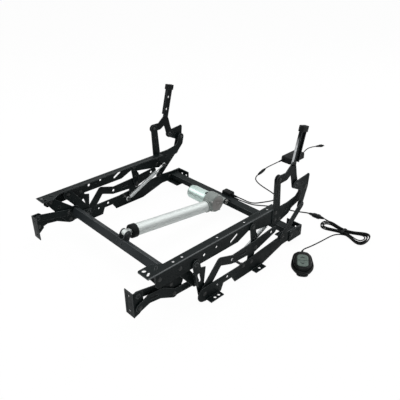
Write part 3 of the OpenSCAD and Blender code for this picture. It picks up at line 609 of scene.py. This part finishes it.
bm = bmesh.new()
moulded(bm, dc_a, dc_b, [
    (0.0, 2.8, 2.8), (0.02, 3.2, 3.2), (0.24, 4.6, 4.6), (0.26, 5.4, 5.4), (0.29, 5.9, 5.9),
    (0.5, 6.0, 6.0), (0.51, 5.2, 5.2), (0.54, 5.2, 5.2), (0.55, 5.9, 5.9), (0.72, 6.0, 6.0),
    (0.76, 5.2, 5.2), (0.78, 4.6, 4.6), (0.98, 3.1, 3.1), (1.0, 2.7, 2.7)], power=2.0)
rings_between(dc_a, dc_b, 0.05, 0.22, 3.5, 4.5)
rings_between(dc_a, dc_b, 0.8, 0.96, 4.5, 3.3)
dc_joint = base_moulding("low_voltage_joint", bm, "dc_connector")

bm = bmesh.new()
moulded(bm, mains_a, mains_b, [
    (0.0, 2.8, 2.8), (0.03, 3.2, 3.2), (0.36, 4.6, 4.2), (0.4, 6.4, 4.6), (0.46, 7.6, 4.9),
    (0.7, 8.0, 5.0), (0.74, 7.8, 4.9), (0.75, 7.0, 4.2), (0.77, 6.8, 4.0)], power=3.4)
PIN_OUT, PIN_PROFILE = 4.2, [(29, 2.0), (37, 2.0), (39, 1.6), (39.8, 0.8)]
mains_way = (mains_b - mains_a).normalized()
for sign in (-1, 1):
    turned(bm, mains_a + mains_way.cross(UP) * sign * PIN_OUT, mains_way, PIN_PROFILE, 20)
rings_between(mains_a, mains_b, 0.05, 0.34, 3.6, 4.6)
mains_tip = base_moulding("mains_two_pin_plug", bm, "mains_plug")
print("three connectors, with", len(ring_places), "rings noted")

# %% [markdown]
# The power supply is a plain black brick in two half shells. Its loft runs upwards: a small radius
# at the foot, a groove where the halves meet, a little draft, and a rounded upper edge. The
# connector box behind the rear tube is a smaller one of the same kind, lofted sideways.

# %% Power supply and connector box
def arc(x, y, r, start, sweep, steps):
    """Points along an arc in the XY plane, with its angles in degrees."""
    angles = [math.radians(start + sweep * k / steps) for k in range(steps + 1)]
    return [Vector((x + r * math.cos(a), y + r * math.sin(a), 0)) for a in angles]


def rounded_outline(half_x, half_y, corner, steps=6):
    corners = ((1, 1, 0), (-1, 1, 90), (-1, -1, 180), (1, -1, 270))
    return [p for sx, sy, start in corners
            for p in arc(sx * (half_x - corner), sy * (half_y - corner), corner, start, 90, steps)]


bm = bmesh.new()
BRICK_CORNER, BRICK_HALF_W, BRICK_HALF_L = 6, 26, (BRICK_REAR - BRICK_FRONT) / 2
brick_at = Vector((-99, (BRICK_FRONT + BRICK_REAR) / 2, 0))
brick_levels = [
    (0.0, 2.6), (0.5, 1.2), (1.6, 0.3), (3.0, 0.0), (13.3, 0.0), (13.6, 0.7), (14.4, 0.7),
    (14.7, 0.0), (24.5, 0.5), (26.4, 1.3), (27.5, 2.6), (28.0, 4.4)]
skin(bm, [[brick_at + Vector((0, 0, z)) + p
           for p in rounded_outline(BRICK_HALF_W - inset, BRICK_HALF_L - inset, BRICK_CORNER)]
          for z, inset in brick_levels])
relief(bm, paths["mains_cord"], length=30, r0=4.8)
base_moulding("power_supply_brick", bm, "power_brick")
bm = bmesh.new()
relief(bm, paths["dc_cord"][::-1], length=24, r0=4.6)
brick_sleeve = base_moulding("power_supply_sleeve", bm)

bm = bmesh.new()
BOX_Y, BOX_Z, Y_AXIS = 305, 45, Vector((0, 1, 0))
box_stations = [(-44, 10.4, 12.4), (-43.2, 12, 14), (-41.6, 13, 15), (-23, 13, 15),
                (-22.4, 12.2, 14.2), (-21, 12.2, 14.2), (-20.4, 13, 15), (-7, 13, 15),
                (-5, 12.2, 14.2), (-4, 10.4, 12.4)]
skin(bm, [oval(Vector((x, BOX_Y, BOX_Z)), Y_AXIS, UP, w, h, power=7.0, count=48)
          for x, w, h in box_stations])
for lead in ("handset_lead", "dc_lead"):
    relief(bm, paths[lead], length=24, r0=4.4)
base_moulding("lead_junction_box", bm, "connector_box")
print("brick and junction box, with", len(ring_places), "rings noted")

# %% [markdown]
# A strip of soft plastic is wrapped round the waist of the hank. It is a flat section carried
# round a rounded rectangle, so the loft runs in a closed ring instead of ending in two caps.

# %% Hank tie
TIE_INNER, TIE_OUTER = (16.0, 4.95, 4.0), (17.2, 6.15, 5.2)
tie_section = ((-4, 0.2), (-3.6, 0.0), (3.6, 0.0), (4, 0.2), (4, 0.8), (3.6, 1.0), (-3.6, 1.0),
               (-4, 0.8))
tie_turn = Matrix.Translation(HANK_AT) @ Matrix.Rotation(HANK_TURN, 4, "Z")
sections = []
for inside, outside in zip(rounded_outline(*TIE_INNER, 8), rounded_outline(*TIE_OUTER, 8)):
    spots = [(reach, inside.lerp(outside, share)) for reach, share in tie_section]
    sections.append([tie_turn @ Vector((reach, p.x, p.y + TIE_OUTER[1])) for reach, p in spots])
bm = bmesh.new()
loops = loops_of(bm, sections)
for a, b in zip(loops, loops[1:] + loops[:1]):
    wall(bm, a, b)
tie = base_moulding("hank_wrap_tie", bm, "hank_tie")
print("tie over the hank's waist, in", len(loops), "sections")

# %% [markdown]
# Each cord is one open curve with a round bevel. It rides with the base and hides its CAD node.

# %% Cords
def make_cord(name, node, radius):
    path = paths[node]
    curve = bpy.data.curves.new(name, "CURVE")
    curve.dimensions = "3D"
    curve.bevel_depth = radius * MM
    curve.bevel_resolution = 3
    curve.use_fill_caps = True
    line = curve.splines.new("POLY")
    line.points.add(len(path) - 1)
    for point, place in zip(line.points, path):
        point.co = (*(place * MM), 1)
    line.use_smooth = True
    curve.materials.append(cord_skin)
    cord = placed(name, curve)
    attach(cord, "base")
    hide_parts(node)


make_cord("handset_lead_cord", "handset_lead", CORD_R)
make_cord("handset_hank_cord", "handset_cord", THIN_R)
make_cord("low_voltage_lead_cord", "dc_lead", CORD_R)
make_cord("low_voltage_cord", "dc_cord", CORD_R)
make_cord("mains_lead_cord", "mains_cord", CORD_R)

# %% [markdown]
# The handset is a palm-sized shell, widest below its middle, with two dished buttons let into its
# face. Its outline is drawn round six corner circles with tangents between them. The loft then
# walks up the skirt, down into the groove behind it and up the inner body. The face needs a pocket
# for the buttons, so it is filled between the outer edge and the pocket's edge.

# %% Handset outline
def lean(p, rp, q, rq):
    """The angle at which the outer tangent of two circles leaves the first."""
    return math.atan2(q[1] - p[1], q[0] - p[0]) + math.acos((rp - rq) / math.dist(p, q))


def tangent_outline(centres, radii, inset, steps=9):
    """Clockwise outline round corner circles, each drawn in by the inset."""
    r = [v - inset for v in radii]
    n = len(centres)
    points = []
    for i in range(n):
        b, f = (i - 1) % n, (i + 1) % n
        a0 = lean(centres[b], r[b], centres[i], r[i])
        a1 = lean(centres[i], r[i], centres[f], r[f])
        sweep = math.fmod(a1 - a0 - 4 * math.pi, 2 * math.pi)
        for k in range(steps):
            a = a0 + sweep * k / (steps - 1)
            points.append(Vector((centres[i][0] + r[i] * math.cos(a),
                                  centres[i][1] + r[i] * math.sin(a), 0)))
    return softened(points)


def softened(points, count=96, passes=20):
    """The same closed outline at even spacing, with its corners eased into the sides."""
    runs = [(b - a).length for a, b in zip(points, points[1:] + points[:1])]
    gap, even, i, at = sum(runs) / count, [], 0, 0.0
    for k in range(count):
        while at + runs[i] < gap * k:
            at += runs[i]
            i += 1
        share = (gap * k - at) / max(runs[i], 1e-6)
        even.append(points[i].lerp(points[(i + 1) % len(points)], share))
    for _ in range(passes):
        even = [(even[i - 1] + 2 * even[i] + even[(i + 1) % count]) / 4 for i in range(count)]
    return even


def levels_of(centres, radii, levels):
    return [[p + Vector((0, 0, z)) for p in tangent_outline(centres, radii, inset)]
            for z, inset in levels]


SHELL = [(-42, 14), (10, 15), (36, 8), (36, -8), (10, -15), (-42, -14)], [14, 20, 14, 14, 20, 14]
LIP = [(20, 8), (46, 8), (46, -8), (20, -8)], [10] * 4
hand_place = Matrix.Translation(HAND_AT) @ Matrix.Rotation(HAND_TURN, 4, "Z")
print("handset outline of", len(tangent_outline(*SHELL, 0)), "points")

# %% Handset shell
POCKET_Z, FACE_Z, POCKET = 12.2, 19.7, (30.3, 17.3, 13.3)
shell_levels = [
    (0.0, 4.0), (0.4, 1.8), (1.6, 0.4), (3.4, 0.0), (8.8, 0.0), (10.6, 0.5), (11.8, 1.6),
    (12.2, 2.9), (11.6, 3.9), (9.8, 4.5), (9.4, 5.1), (10.2, 5.6), (14.6, 5.8), (16.8, 6.3),
    (18.4, 7.4), (19.3, 8.7), (FACE_Z, 10.0)]
lip_levels = [(0.0, 3.0), (0.4, 1.2), (1.6, 0.2), (3.0, 0.0), (7.2, 0.0), (8.8, 0.7), (9.7, 2.0),
              (10.0, 3.6)]
bm = bmesh.new()
loops = loops_of(bm, levels_of(*SHELL, shell_levels))
for a, b in zip(loops, loops[1:]):
    wall(bm, a, b)
bm.faces.new(loops[0])
pocket = rounded_outline(*POCKET)
upper, lower = loops_of(bm, [[p + Vector((0, 0, z)) for p in pocket] for z in (FACE_Z, POCKET_Z)])
wall(bm, upper, lower)
bm.faces.new(lower)
face_edges = [bm.edges.get(ends) for loop in (loops[-1], upper)
              for ends in zip(loop, loop[1:] + loop[:1])]
bmesh.ops.triangle_fill(bm, edges=face_edges, use_beauty=True)
skin(bm, levels_of(*LIP, lip_levels))
bm.transform(hand_place)
relief(bm, paths["handset_cord"][::-1], length=16, r0=4.0, r1=2.5)
piece("handset_shell", bm, handset_moulding, "base", "black_plastic", "handset_body")
print("handset shell with its pocket,", round(FACE_Z - POCKET_Z, 1), "mm deep")

# %% [markdown]
# A rubber-feel button is softly dished for the thumb. Its loft runs up the side, over a rounded
# rim and down into the dish. Plain arrow marks, one each way, show which button opens the
# footrest.

# %% Handset buttons
pad_levels = [(14.0, 0.6), (14.4, 0.0), (19.6, 0.0), (20.6, 0.3), (21.2, 0.9), (21.5, 1.8),
              (21.35, 3.4), (21.1, 5.4), (20.95, 7.8), (20.9, 10.2)]
pad_corners = ((17, 4, 0, 13), (2.6, 15, 90, 2), (2.6, -15, 180, 2), (17, -4, 270, 13))
PAD_MIDDLE, PAD_RIM, PAD_DISH, ARROW_FOOT, ARROW_TOP = 15, 2, 14 / 0.75, 20.4, 21.3
arrow = [(-4.0, -7.6), (3.6, 0.0), (-4.0, 7.6), (-0.4, 0.0)]


def pad_outline(inset, steps=8):
    """From the middle gap outwards: two tight inner corners and two wide outer ones."""
    ring = [p for x, y, start, r in pad_corners
            for p in arc(x, y, max(r - inset, 0.2), start, 90, steps)]
    slip = max(inset - PAD_RIM, 0) / PAD_DISH
    return [p.lerp(Vector((PAD_MIDDLE, 0, 0)), slip) for p in ring]


def make_button(name, node, end):
    """One pad, with its rounded end towards the cord, -1, or towards the lip, 1."""
    bm = bmesh.new()
    skin(bm, [[Vector((end * p.x, p.y, z)) for p in pad_outline(inset)]
              for z, inset in pad_levels])
    bm.transform(hand_place)
    piece(name, bm, button_moulding, node, "button_grey", node)
    bm = bmesh.new()
    skin(bm, [[Vector((end * (PAD_MIDDLE + u), v, z)) for u, v in arrow]
              for z in (ARROW_FOOT, ARROW_TOP)])
    bm.transform(hand_place)
    piece(name + "_arrow", bm, handset_moulding, node, "black_plastic")


make_button("open_button_pad", "button_open", -1)
make_button("close_button_pad", "button_close", 1)
print("two buttons with arrow marks")

# %% [markdown]
# The actuator leans between its two pivots, so its pieces are drawn level, with the tube along -Y
# from the rear pin, and then turned into place. The gearbox drum is a turning with a groove round
# its cover, small lugs round the rim where the cover is screwed down, a neck for the tube and the
# rear eye.

# %% Gearbox
actuator_place = Matrix.Translation((8, 248, 56)) @ Matrix.Rotation(actuator_lean, 4, "X")
DRUM_S, DRUM_Z = 55, 9
drum_at = Vector((0, -DRUM_S, DRUM_Z))
X_AXIS, TUBE_WAY = Vector((1, 0, 0)), Vector((0, -1, 0))
LUG_RING, LUG_FACE = 29.6, 20.6
lug_angles = [math.radians(a) for a in (12, 84, 156, 228, 300)]


def round_drum(angle, radius):
    return drum_at + Vector((0, math.cos(angle), math.sin(angle))) * radius


def actuator_piece(name, bm, material, slot, *replaced, sharp=35):
    bm.transform(actuator_place)
    piece(name, bm, material, "actuator_body", slot, *replaced, sharp=sharp)


bm = bmesh.new()
turned(bm, drum_at, X_AXIS, [
    (-22, 26), (-21, 29.2), (-18.6, 31), (-15, 31.6), (-1.2, 31.9), (-0.9, 32.4), (0.9, 32.4),
    (1.2, 31.9), (15, 31.6), (18.6, 30.8), (20.8, 29), (21.6, 27)], 72)
for angle in lug_angles:
    turned(bm, round_drum(angle, LUG_RING), X_AXIS,
           [(-9, 3.2), (-8, 4.2), (19.6, 4.2), (LUG_FACE, 3.4)], 20)
turned(bm, (0, -DRUM_S, 0), TUBE_WAY, [(0, 21), (31, 21.4), (33, 22), (36, 22), (37, 21)], 56)
skin(bm, [oval(Vector((0, -s, 0)), X_AXIS, UP, 8.6, h, power=5.0)
          for s, h in ((2, 9.6), (12, 9.6), (22, 12), (34, 16))])
turned(bm, (0, 0, 0), X_AXIS, [(-8.7, 8.6), (-8.0, 9.8), (8.0, 9.8), (8.7, 8.6)], 40)
actuator_piece("gearbox_casting", bm, gear_grey, "gearbox_grey", "gearbox")

bm = bmesh.new()
turned(bm, drum_at, X_AXIS, [
    (20.6, 24.6), (21.9, 24.6), (22.3, 24.0), (22.3, 10.4), (21.7, 9.8), (21.7, 6.6), (22.5, 6.0),
    (22.5, 1.0)], 64)
actuator_piece("gearbox_cover_disc", bm, gear_face, "gearbox_grey")
print("gearbox with", len(lug_angles), "lugs")

# %% [markdown]
# The motor can is deep drawn with two flats along its sides, so its section is a circle that is
# cut off at a fixed distance from the middle. A black terminal block sits where it meets the
# gearbox.

# %% Motor
CAN_R, CAN_Z, CAN_FLAT, FLAT_TURN = 25, DRUM_Z + 1, 0.9, 0.35
can_stations = [(-21, 0.97), (-23, 1.0), (-26, 1.0), (-26.3, 0.98), (-27.2, 0.98), (-27.5, 1.0),
                (-99, 1.0), (-103, 0.985), (-105.4, 0.95), (-106.8, 0.89), (-107.2, 0.8)]


def can_ring(x, scale, count=72):
    ring = []
    for k in range(count):
        a = 2 * math.pi * k / count
        r = min(1.0, CAN_FLAT / max(abs(math.sin(a + FLAT_TURN)), 1e-6))
        ring.append(Vector((x, -DRUM_S + CAN_R * scale * r * math.cos(a),
                            CAN_Z + CAN_R * scale * r * math.sin(a))))
    return ring


bm = bmesh.new()
skin(bm, [can_ring(x, scale) for x, scale in can_stations])
turned(bm, drum_at + UP, -X_AXIS, [(106, 8), (112, 8), (113, 7), (113, 3), (112.2, 2.4)], 32)
actuator_piece("motor_drawn_can", bm, motor_steel, "bright_alloy", "motor_can", sharp=28)

bm = bmesh.new()
BLOCK_X, BLOCK_Y, BLOCK_HALF_W, BLOCK_HALF_L, BLOCK_CORNER = -25.5, -DRUM_S - 6, 4, 8, 2
skin(bm, [[p + Vector((BLOCK_X, BLOCK_Y, z))
           for p in rounded_outline(BLOCK_HALF_W - inset, BLOCK_HALF_L - inset, BLOCK_CORNER)]
          for z, inset in ((26, 0), (34.4, 0), (35.4, 0.5), (35.8, 1.3))])
actuator_piece("motor_terminal_block", bm, black_moulding, "black_plastic")
print("motor can and terminal block")

# %% [markdown]
# Pressed plates and tubes keep their CAD shape, but no real edge is knife sharp. A copy of each
# node has its loose triangles merged and its flat faces joined, then a Bevel modifier eases the
# edges. The weights tell it how wide: a wide curve along the bend of a rail, a hair's width at a
# cut edge. The new faces take a second, lighter finish: partly the coat worn thin there, partly a
# painted highlight along the edges. A last pass clears away edges with no length, so that the skin
# stays closed.

# %% Eased steel
EASE, BEND, CAP_EASE, ALLOY_EASE = 0.0005, 0.0024, 0.0012, 0.0006
MERGE, SLIVER, NEAR = 2e-6, 1e-6, 1e-5
FLAT_ANGLE, EDGE_ANGLE = math.radians(0.6), math.radians(38)
RAIL_SIDE, RAIL_TOP = 0.28, 0.163
LEAST_VOLUME, MOST_VOLUME = 0.9, 1.002
body_of_node = {name: body for body, names in frame["record"]["behaviour"]["bodies"].items()
                for name in names}


def is_bend(name, ends):
    """The outer corner of a seat rail, where its flange is folded over."""
    return name.endswith("seat_rail") and all(
        abs(abs(p.x) - RAIL_SIDE) < NEAR and abs(p.z - RAIL_TOP) < NEAR for p in ends)


def evaluated(carrier):
    """The mesh that a carrier's modifier makes. The carrier itself is removed."""
    graph = bpy.context.evaluated_depsgraph_get()
    mesh = bpy.data.meshes.new_from_object(carrier.evaluated_get(graph), depsgraph=graph)
    bpy.data.objects.remove(carrier)
    return mesh


def eased(name, material, edge_material, slot, ease=EASE, segments=2):
    bm = bmesh.new()
    bm.from_mesh(nodes[name].data)
    bmesh.ops.remove_doubles(bm, verts=bm.verts, dist=MERGE)
    bmesh.ops.dissolve_limit(bm, angle_limit=FLAT_ANGLE, verts=bm.verts, edges=bm.edges)
    weight = bm.edges.layers.float.new("bevel_weight_edge")
    widest = max(ease, BEND)
    for edge in bm.edges:
        if len(edge.link_faces) == 2 and edge.calc_face_angle() > EDGE_ANGLE:
            width = BEND if is_bend(name, [v.co for v in edge.verts]) else ease
            edge[weight] = width / widest
    before = bm.calc_volume()
    mesh = bpy.data.meshes.new(name + "_sharp")
    bm.to_mesh(mesh)
    bm.free()
    mesh.materials.append(material)
    mesh.materials.append(edge_material)
    carrier = placed(name + "_carrier", mesh)
    rounding = carrier.modifiers.new("edges", "BEVEL")
    rounding.limit_method = "WEIGHT"
    rounding.width = widest
    rounding.segments = segments
    rounding.use_clamp_overlap = False
    rounding.material = 1
    result = evaluated(carrier)
    bm = bmesh.new()
    bm.from_mesh(result)
    bmesh.ops.dissolve_degenerate(bm, dist=SLIVER, edges=bm.edges)
    share = bm.calc_volume() / before
    whole = all(edge.is_manifold for edge in bm.edges)
    bm.to_mesh(result)
    bm.free()
    if not whole or not LEAST_VOLUME < share < MOST_VOLUME:
        print(name, "stays as CAD made it:", "closed" if whole else "open", round(share, 4))
        return
    piece_of(name + "_eased", result, body_of_node[name], slot, name, sharp=24)


# The front tube takes a lighter coat with painted light; the uprights take the coat with the
# painted highlight streak.
own_coat = {"left_back_bracket": upright_highlight_coat, "right_back_bracket": upright_highlight_coat,
            "front_tube": front_tube_lit_coat}
# Steel edges take the lighter edge coat, partly wear and partly a painted highlight.
for name, slot in slot_of.items():
    if slot == "black_steel":
        eased(name, own_coat.get(name, black_coat), edge_wear_and_highlight, slot)
for name in ("back_caps", "front_collar"):
    eased(name, black_moulding, black_moulding, "black_plastic", CAP_EASE, segments=3)
for name in ("actuator_rod", "actuator_tube"):
    eased(name, drawn_alloy, drawn_alloy, "bright_alloy", ALLOY_EASE)
eased("clevis_pin", zinc_plate, zinc_plate, "zinc_steel")

# %% [markdown]
# Small things that repeat come from Geometry Nodes: the tree takes loose points with a direction
# and a size on each, and stands a copy of one finished shape on every point. The copies are made
# real, given their finish and turned into a plain mesh for each moving body.

# %% Tree for repeated fittings
def new_tree(name, sockets):
    tree = bpy.data.node_groups.new(name, "GeometryNodeTree")
    for label, kind in [("Geometry", "Geometry"), *sockets]:
        tree.interface.new_socket(label, in_out="INPUT", socket_type="NodeSocket" + kind)
    tree.interface.new_socket("Geometry", in_out="OUTPUT", socket_type="NodeSocketGeometry")
    return tree, add(tree, "NodeGroupInput").outputs


def end_tree(tree, given, geometry):
    """Makes copies real, smooths them and sets the finish."""
    real = add(tree, "GeometryNodeRealizeInstances", {"Geometry": geometry}).outputs[0]
    soft = add(tree, "GeometryNodeSetShadeSmooth", {"Geometry": real}).outputs[0]
    done = add(tree, "GeometryNodeSetMaterial", {"Geometry": soft, "Material": given["Finish"]})
    add(tree, "NodeGroupOutput", {"Geometry": done.outputs[0]})


def named(tree, name, kind):
    return add(tree, "GeometryNodeInputNamedAttribute", {"Name": name},
               data_type=kind).outputs["Attribute"]


def grown(tree, name, mesh, values):
    """Evaluates a tree on a mesh and returns the result as a plain mesh."""
    carrier = placed(name + "_carrier", mesh)
    modifier = carrier.modifiers.new(tree.name, "NODES")
    modifier.node_group = tree
    for item in tree.interface.items_tree:
        if item.in_out == "INPUT" and item.name in values:
            modifier[item.identifier] = values[item.name]
    return evaluated(carrier)


fitting_tree, given = new_tree(
    "fittings_on_points", [("Fitting", "Object"), ("Finish", "Material")])
shape = add(fitting_tree, "GeometryNodeObjectInfo", {"Object": given["Fitting"]})
aim = add(fitting_tree, "FunctionNodeAlignRotationToVector",
          {"Vector": named(fitting_tree, "direction", "FLOAT_VECTOR")}, axis="Z")
copies = add(fitting_tree, "GeometryNodeInstanceOnPoints", {
    "Points": given["Geometry"], "Instance": shape.outputs["Geometry"],
    "Rotation": aim.outputs["Rotation"], "Scale": named(fitting_tree, "size", "FLOAT")})
end_tree(fitting_tree, given, copies.outputs["Instances"])
print("tree", fitting_tree.name, "has", len(fitting_tree.nodes), "nodes")

# %% Points and shapes for the tree
def point_mesh(name, places):
    """Loose points in metres, each with its direction and size."""
    mesh = bpy.data.meshes.new(name)
    mesh.from_pydata([tuple(Vector(p) * MM) for p, _, _ in places], [], [])
    mesh.attributes.new("direction", "FLOAT_VECTOR", "POINT")
    mesh.attributes.new("size", "FLOAT", "POINT")
    for i, (_, d, r) in enumerate(places):
        mesh.attributes["direction"].data[i].vector = d
        mesh.attributes["size"].data[i].value = r
    return mesh


def template(name, profile, count=20):
    """The finished shape that is copied: a turning about Z, in metres."""
    bm = bmesh.new()
    turned(bm, (0, 0, 0), UP, profile, count)
    return bpy.data.objects.new(name, metre_mesh(name, bm))


def fitted(name, fitting, places, material, body, slot):
    mesh = grown(fitting_tree, name, point_mesh(name + "_points", places),
                 {"Fitting": fitting, "Finish": material})
    piece_of(name, mesh, body, slot, sharp=40)
    print(name, "has", len(places), "copies")


print("fittings are copies of one template, placed by", fitting_tree.name)

# %% [markdown]
# A rivet head is rolled over by a spinning tool, which leaves a low dome with a dimple in the
# middle. The CAD rivet has a plain coned head, and this rolled crown sits on top of it. The list
# gives each pivot's place on the left side and how far out its outer and inner heads lie. The
# right side mirrors it. A zero leaves a head plain, where another plate swings close over it.

# %% Rivet crowns
SIDES = (1, -1)
rivet_head = template("rivet_crown", [
    (-0.9, 4.6), (0.0, 5.0), (0.45, 4.6), (0.85, 3.5), (0.95, 2.2), (0.62, 1.3), (0.55, 0.4)])
rivet_tops = {
    "base": [
        ((88, 74), 291.6, 0), ((-126, 26), 296.6, 0), ((205, 62), 301.8, 0), ((66, 36), 296.6, 0),
        ((254, 43), 299.6, 0), ((298.6, 43), 299.6, 0), ((30, 40), 296.6, 254.4)],
    "seat_frame": [
        ((-265, 144), 281.6, 253.2), ((-197, 142), 281.6, 263.2), ((79, 144), 286.8, 275.4),
        ((181, 262), 291.8, 278.4), ((308, 196), 296.8, 278.4), ((-146, 130), 0, 275.4),
        ((182, 148), 284.6, 275.4), ((182, 124), 284.6, 275.4), ((203, 119), 284.6, 254.4)],
    "drive_crank": [((-206, 57), 264.8, 0), ((-212, 87), 0, 248.2)],
    "lower_arms": [((-317, 75), 264.6, 253.2)]}
for body, rows in rivet_tops.items():
    places = [((side * x, y, z), (side * out, 0, 0), 1.0) for (y, z), outer, inner in rows
              for side in SIDES for x, out in ((outer, 1), (inner, -1)) if x]
    fitted(body + "_rivet_crowns", rivet_head, places, dark_rivet, body, "black_steel")

# %% [markdown]
# The same tree sets the cover screws of the gearbox and the rings of the strain reliefs. Only the
# copied shape and the points change.

# %% Cover screws and relief rings
screw_head = template("cover_screw", [
    (-1.2, 2.8), (0.4, 2.8), (1.0, 2.4), (1.3, 1.7), (1.3, 1.3), (0.5, 1.2), (0.4, 0.2)], 18)
screw_spots = [(actuator_place @ (round_drum(angle, LUG_RING) + X_AXIS * LUG_FACE), X_AXIS, 1.0)
               for angle in lug_angles]
fitted("cover_screws", screw_head, screw_spots, zinc_plate, "actuator_body", "zinc_steel")
relief_ring = template("relief_ring", [
    (-0.16, 0.9), (-0.12, 1.1), (0.0, 1.16), (0.12, 1.1), (0.16, 0.9)])
fitted("relief_rings", relief_ring, ring_places, black_moulding, "base", "black_plastic")

# %% [markdown]
# Spare holes and slots in the links are closed with black nylon plugs, which sit just below the
# faces of the plate so that a neighbour can swing past. A round plug is one more fitting on
# points. A slot plug is a loft of the slot's own outline: chamfer, body, chamfer, and a shallow
# dish on the outside.

# %% Nylon plugs
def slot_outline(x, p, q, r, steps=8):
    p, q = Vector((0, *p)), Vector((0, *q))
    way = (q - p).normalized()
    side = X_AXIS.cross(way)
    ring = []
    for centre, first in ((q, -90), (p, 90)):
        for k in range(steps + 1):
            a = math.radians(first + 180 * k / steps)
            ring.append(X_AXIS * x + centre + (way * math.cos(a) + side * math.sin(a)) * r)
    return ring


def slot_plugs(name, body, rows):
    """Each row is the plate's inner and outer face, the slot's two ends and its radius."""
    bm = bmesh.new()
    for (x0, x1), p, q, r in rows:
        for side in SIDES:
            skin(bm, [slot_outline(side * x, p, q, r - inset) for x, inset in (
                (x0 + 0.2, 0.6), (x0 + 0.6, 0.12), (x1 - 0.6, 0.12), (x1 - 0.2, 0.6),
                (x1 - 0.2, 1.2), (x1 - 0.7, 1.6))])
    piece(name, bm, black_moulding, body, "black_plastic")
    print(name, "has", 2 * len(rows), "plugs")


slot_plugs("base_slot_plugs", "base", [
    ((287, 290), (24, 80), (46, 80), 3.5), ((292, 295), (135, 14), (165, 23), 4.0)])
slot_plugs("arm_slot_plugs", "lower_arms", [((260, 263), (-281, 86), (-263, 83), 3.5)])
slot_plugs("post_slot_plugs", "seat_frame", [((280, 283), (184, 200), (183, 222), 3.5)])
hole_plug = template("hole_plug", [
    (-2.8, 4.4), (-2.4, 4.88), (-0.6, 4.88), (-0.2, 4.4), (-0.2, 3.4), (-0.7, 2.8), (-0.7, 0.4)])
for body, x, y, z in (("rear_lift_links", 285, 86, 108), ("drive_crank", 258, -240, 116),
                      ("bell_cranks", 295, 288, 215), ("seat_frame", 283, 232, 140)):
    places = [((side * x, y, z), (side, 0, 0), 1.0) for side in SIDES]
    fitted(body + "_hole_plugs", hole_plug, places, black_moulding, body, "black_plastic")

# %% [markdown]
# A return spring is a close coil of round wire that runs out straight to a hook at each end. The
# coil follows a rule, so a node tree makes it from a spiral; the hooks are drawn as edges and
# joined to it, and one round section is carried along both. The spring shortens as the seat glides
# forward.

# %% Tree for the springs
COIL_STEPS, WIRE_SIDES = 18, 10
spring_tree, given = new_tree("close_coil", [
    ("Turns", "Float"), ("Coil radius", "Float"), ("Coil length", "Float"),
    ("Wire radius", "Float"), ("Foot", "Vector"), ("Lean", "Vector"), ("Finish", "Material")])
spiral = add(spring_tree, "GeometryNodeCurveSpiral", {
    "Resolution": COIL_STEPS, "Rotations": given["Turns"], "Start Radius": given["Coil radius"],
    "End Radius": given["Coil radius"], "Height": given["Coil length"]})
laid = add(spring_tree, "GeometryNodeTransform", {
    "Geometry": spiral.outputs["Curve"], "Translation": given["Foot"], "Rotation": given["Lean"]})
hooks = add(spring_tree, "GeometryNodeMeshToCurve", {"Mesh": given["Geometry"]})
both = add(spring_tree, "GeometryNodeJoinGeometry", {"Geometry": hooks.outputs["Curve"]})
spring_tree.links.new(laid.outputs["Geometry"], both.inputs["Geometry"])
section = add(spring_tree, "GeometryNodeCurvePrimitiveCircle", {
    "Resolution": WIRE_SIDES, "Radius": given["Wire radius"]})
wire = add(spring_tree, "GeometryNodeCurveToMesh", {
    "Curve": both.outputs["Geometry"], "Profile Curve": section.outputs["Curve"],
    "Fill Caps": True})
end_tree(spring_tree, given, wire.outputs["Mesh"])
print("tree", spring_tree.name, "has", len(spring_tree.nodes), "nodes")

# %% Return springs
SPRING_X, PIN_R, COIL_R, WIRE_R = 262, 4.0, 4.8, 1.86
COIL_START, TURNS, PITCH, SHORTENED = 12.0, 36, 3.8, 0.872
RUN_IN, IN_STEPS, HOOK_REACH, HOOK_FROM, HOOK_SWEEP, HOOK_STEPS = 3, 8, 7.0, 40, 290, 14
spring_foot, spring_head = Vector((0, 30, 40)), Vector((0, 203, 119))
spring_length = (spring_head - spring_foot).length
spring_way = (spring_head - spring_foot).normalized()
spring_up = spring_way.cross(X_AXIS)


def hook_path(pin, way, coil_s):
    """Wire from the coil's end in to the axis, along it, and round the pin."""
    path = []
    for k in range(IN_STEPS + 1):
        a, f = math.pi * k / IN_STEPS, 1 - k / IN_STEPS
        path.append(way * (coil_s - RUN_IN * k / IN_STEPS)
                    + (X_AXIS * math.cos(a) + spring_up * math.sin(a)) * COIL_R * f)
    straight = coil_s - RUN_IN - HOOK_REACH
    path += [way * (coil_s - RUN_IN - straight * k / 4) for k in range(1, 4)]
    for k in range(HOOK_STEPS + 1):
        a = math.radians(HOOK_FROM + HOOK_SWEEP * k / HOOK_STEPS)
        path.append((way * math.cos(a) + spring_up * math.sin(a)) * (PIN_R + WIRE_R))
    return [pin + p for p in path]


def make_spring(name, node, x):
    foot, head = spring_foot + X_AXIS * x, spring_head + X_AXIS * x
    coil_length = TURNS * PITCH
    points, edges = [], []
    for run in (hook_path(foot, spring_way, COIL_START),
                hook_path(head, -spring_way, spring_length - (COIL_START + coil_length))):
        edges += [(len(points) + i, len(points) + i + 1) for i in range(len(run) - 1)]
        points += [tuple(p * MM) for p in run]
    mesh = bpy.data.meshes.new(name + "_hooks")
    mesh.from_pydata(points, edges, [])
    lean_x = -math.atan2(spring_way.y, spring_way.z)
    result = grown(spring_tree, name, mesh, {
        "Turns": float(TURNS), "Coil radius": COIL_R * MM, "Coil length": coil_length * MM,
        "Wire radius": WIRE_R * MM, "Foot": (foot + spring_way * COIL_START) * MM,
        "Lean": (lean_x, 0.0, 0.0), "Finish": spring_wire})
    spring = piece_of(name, result, "base", "zinc_steel", node, sharp=60)
    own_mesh(spring)
    print(name, "has", len(result.polygons), "faces")


make_spring("left_return_spring", "left_spring", SPRING_X)
make_spring("right_return_spring", "right_spring", -SPRING_X)
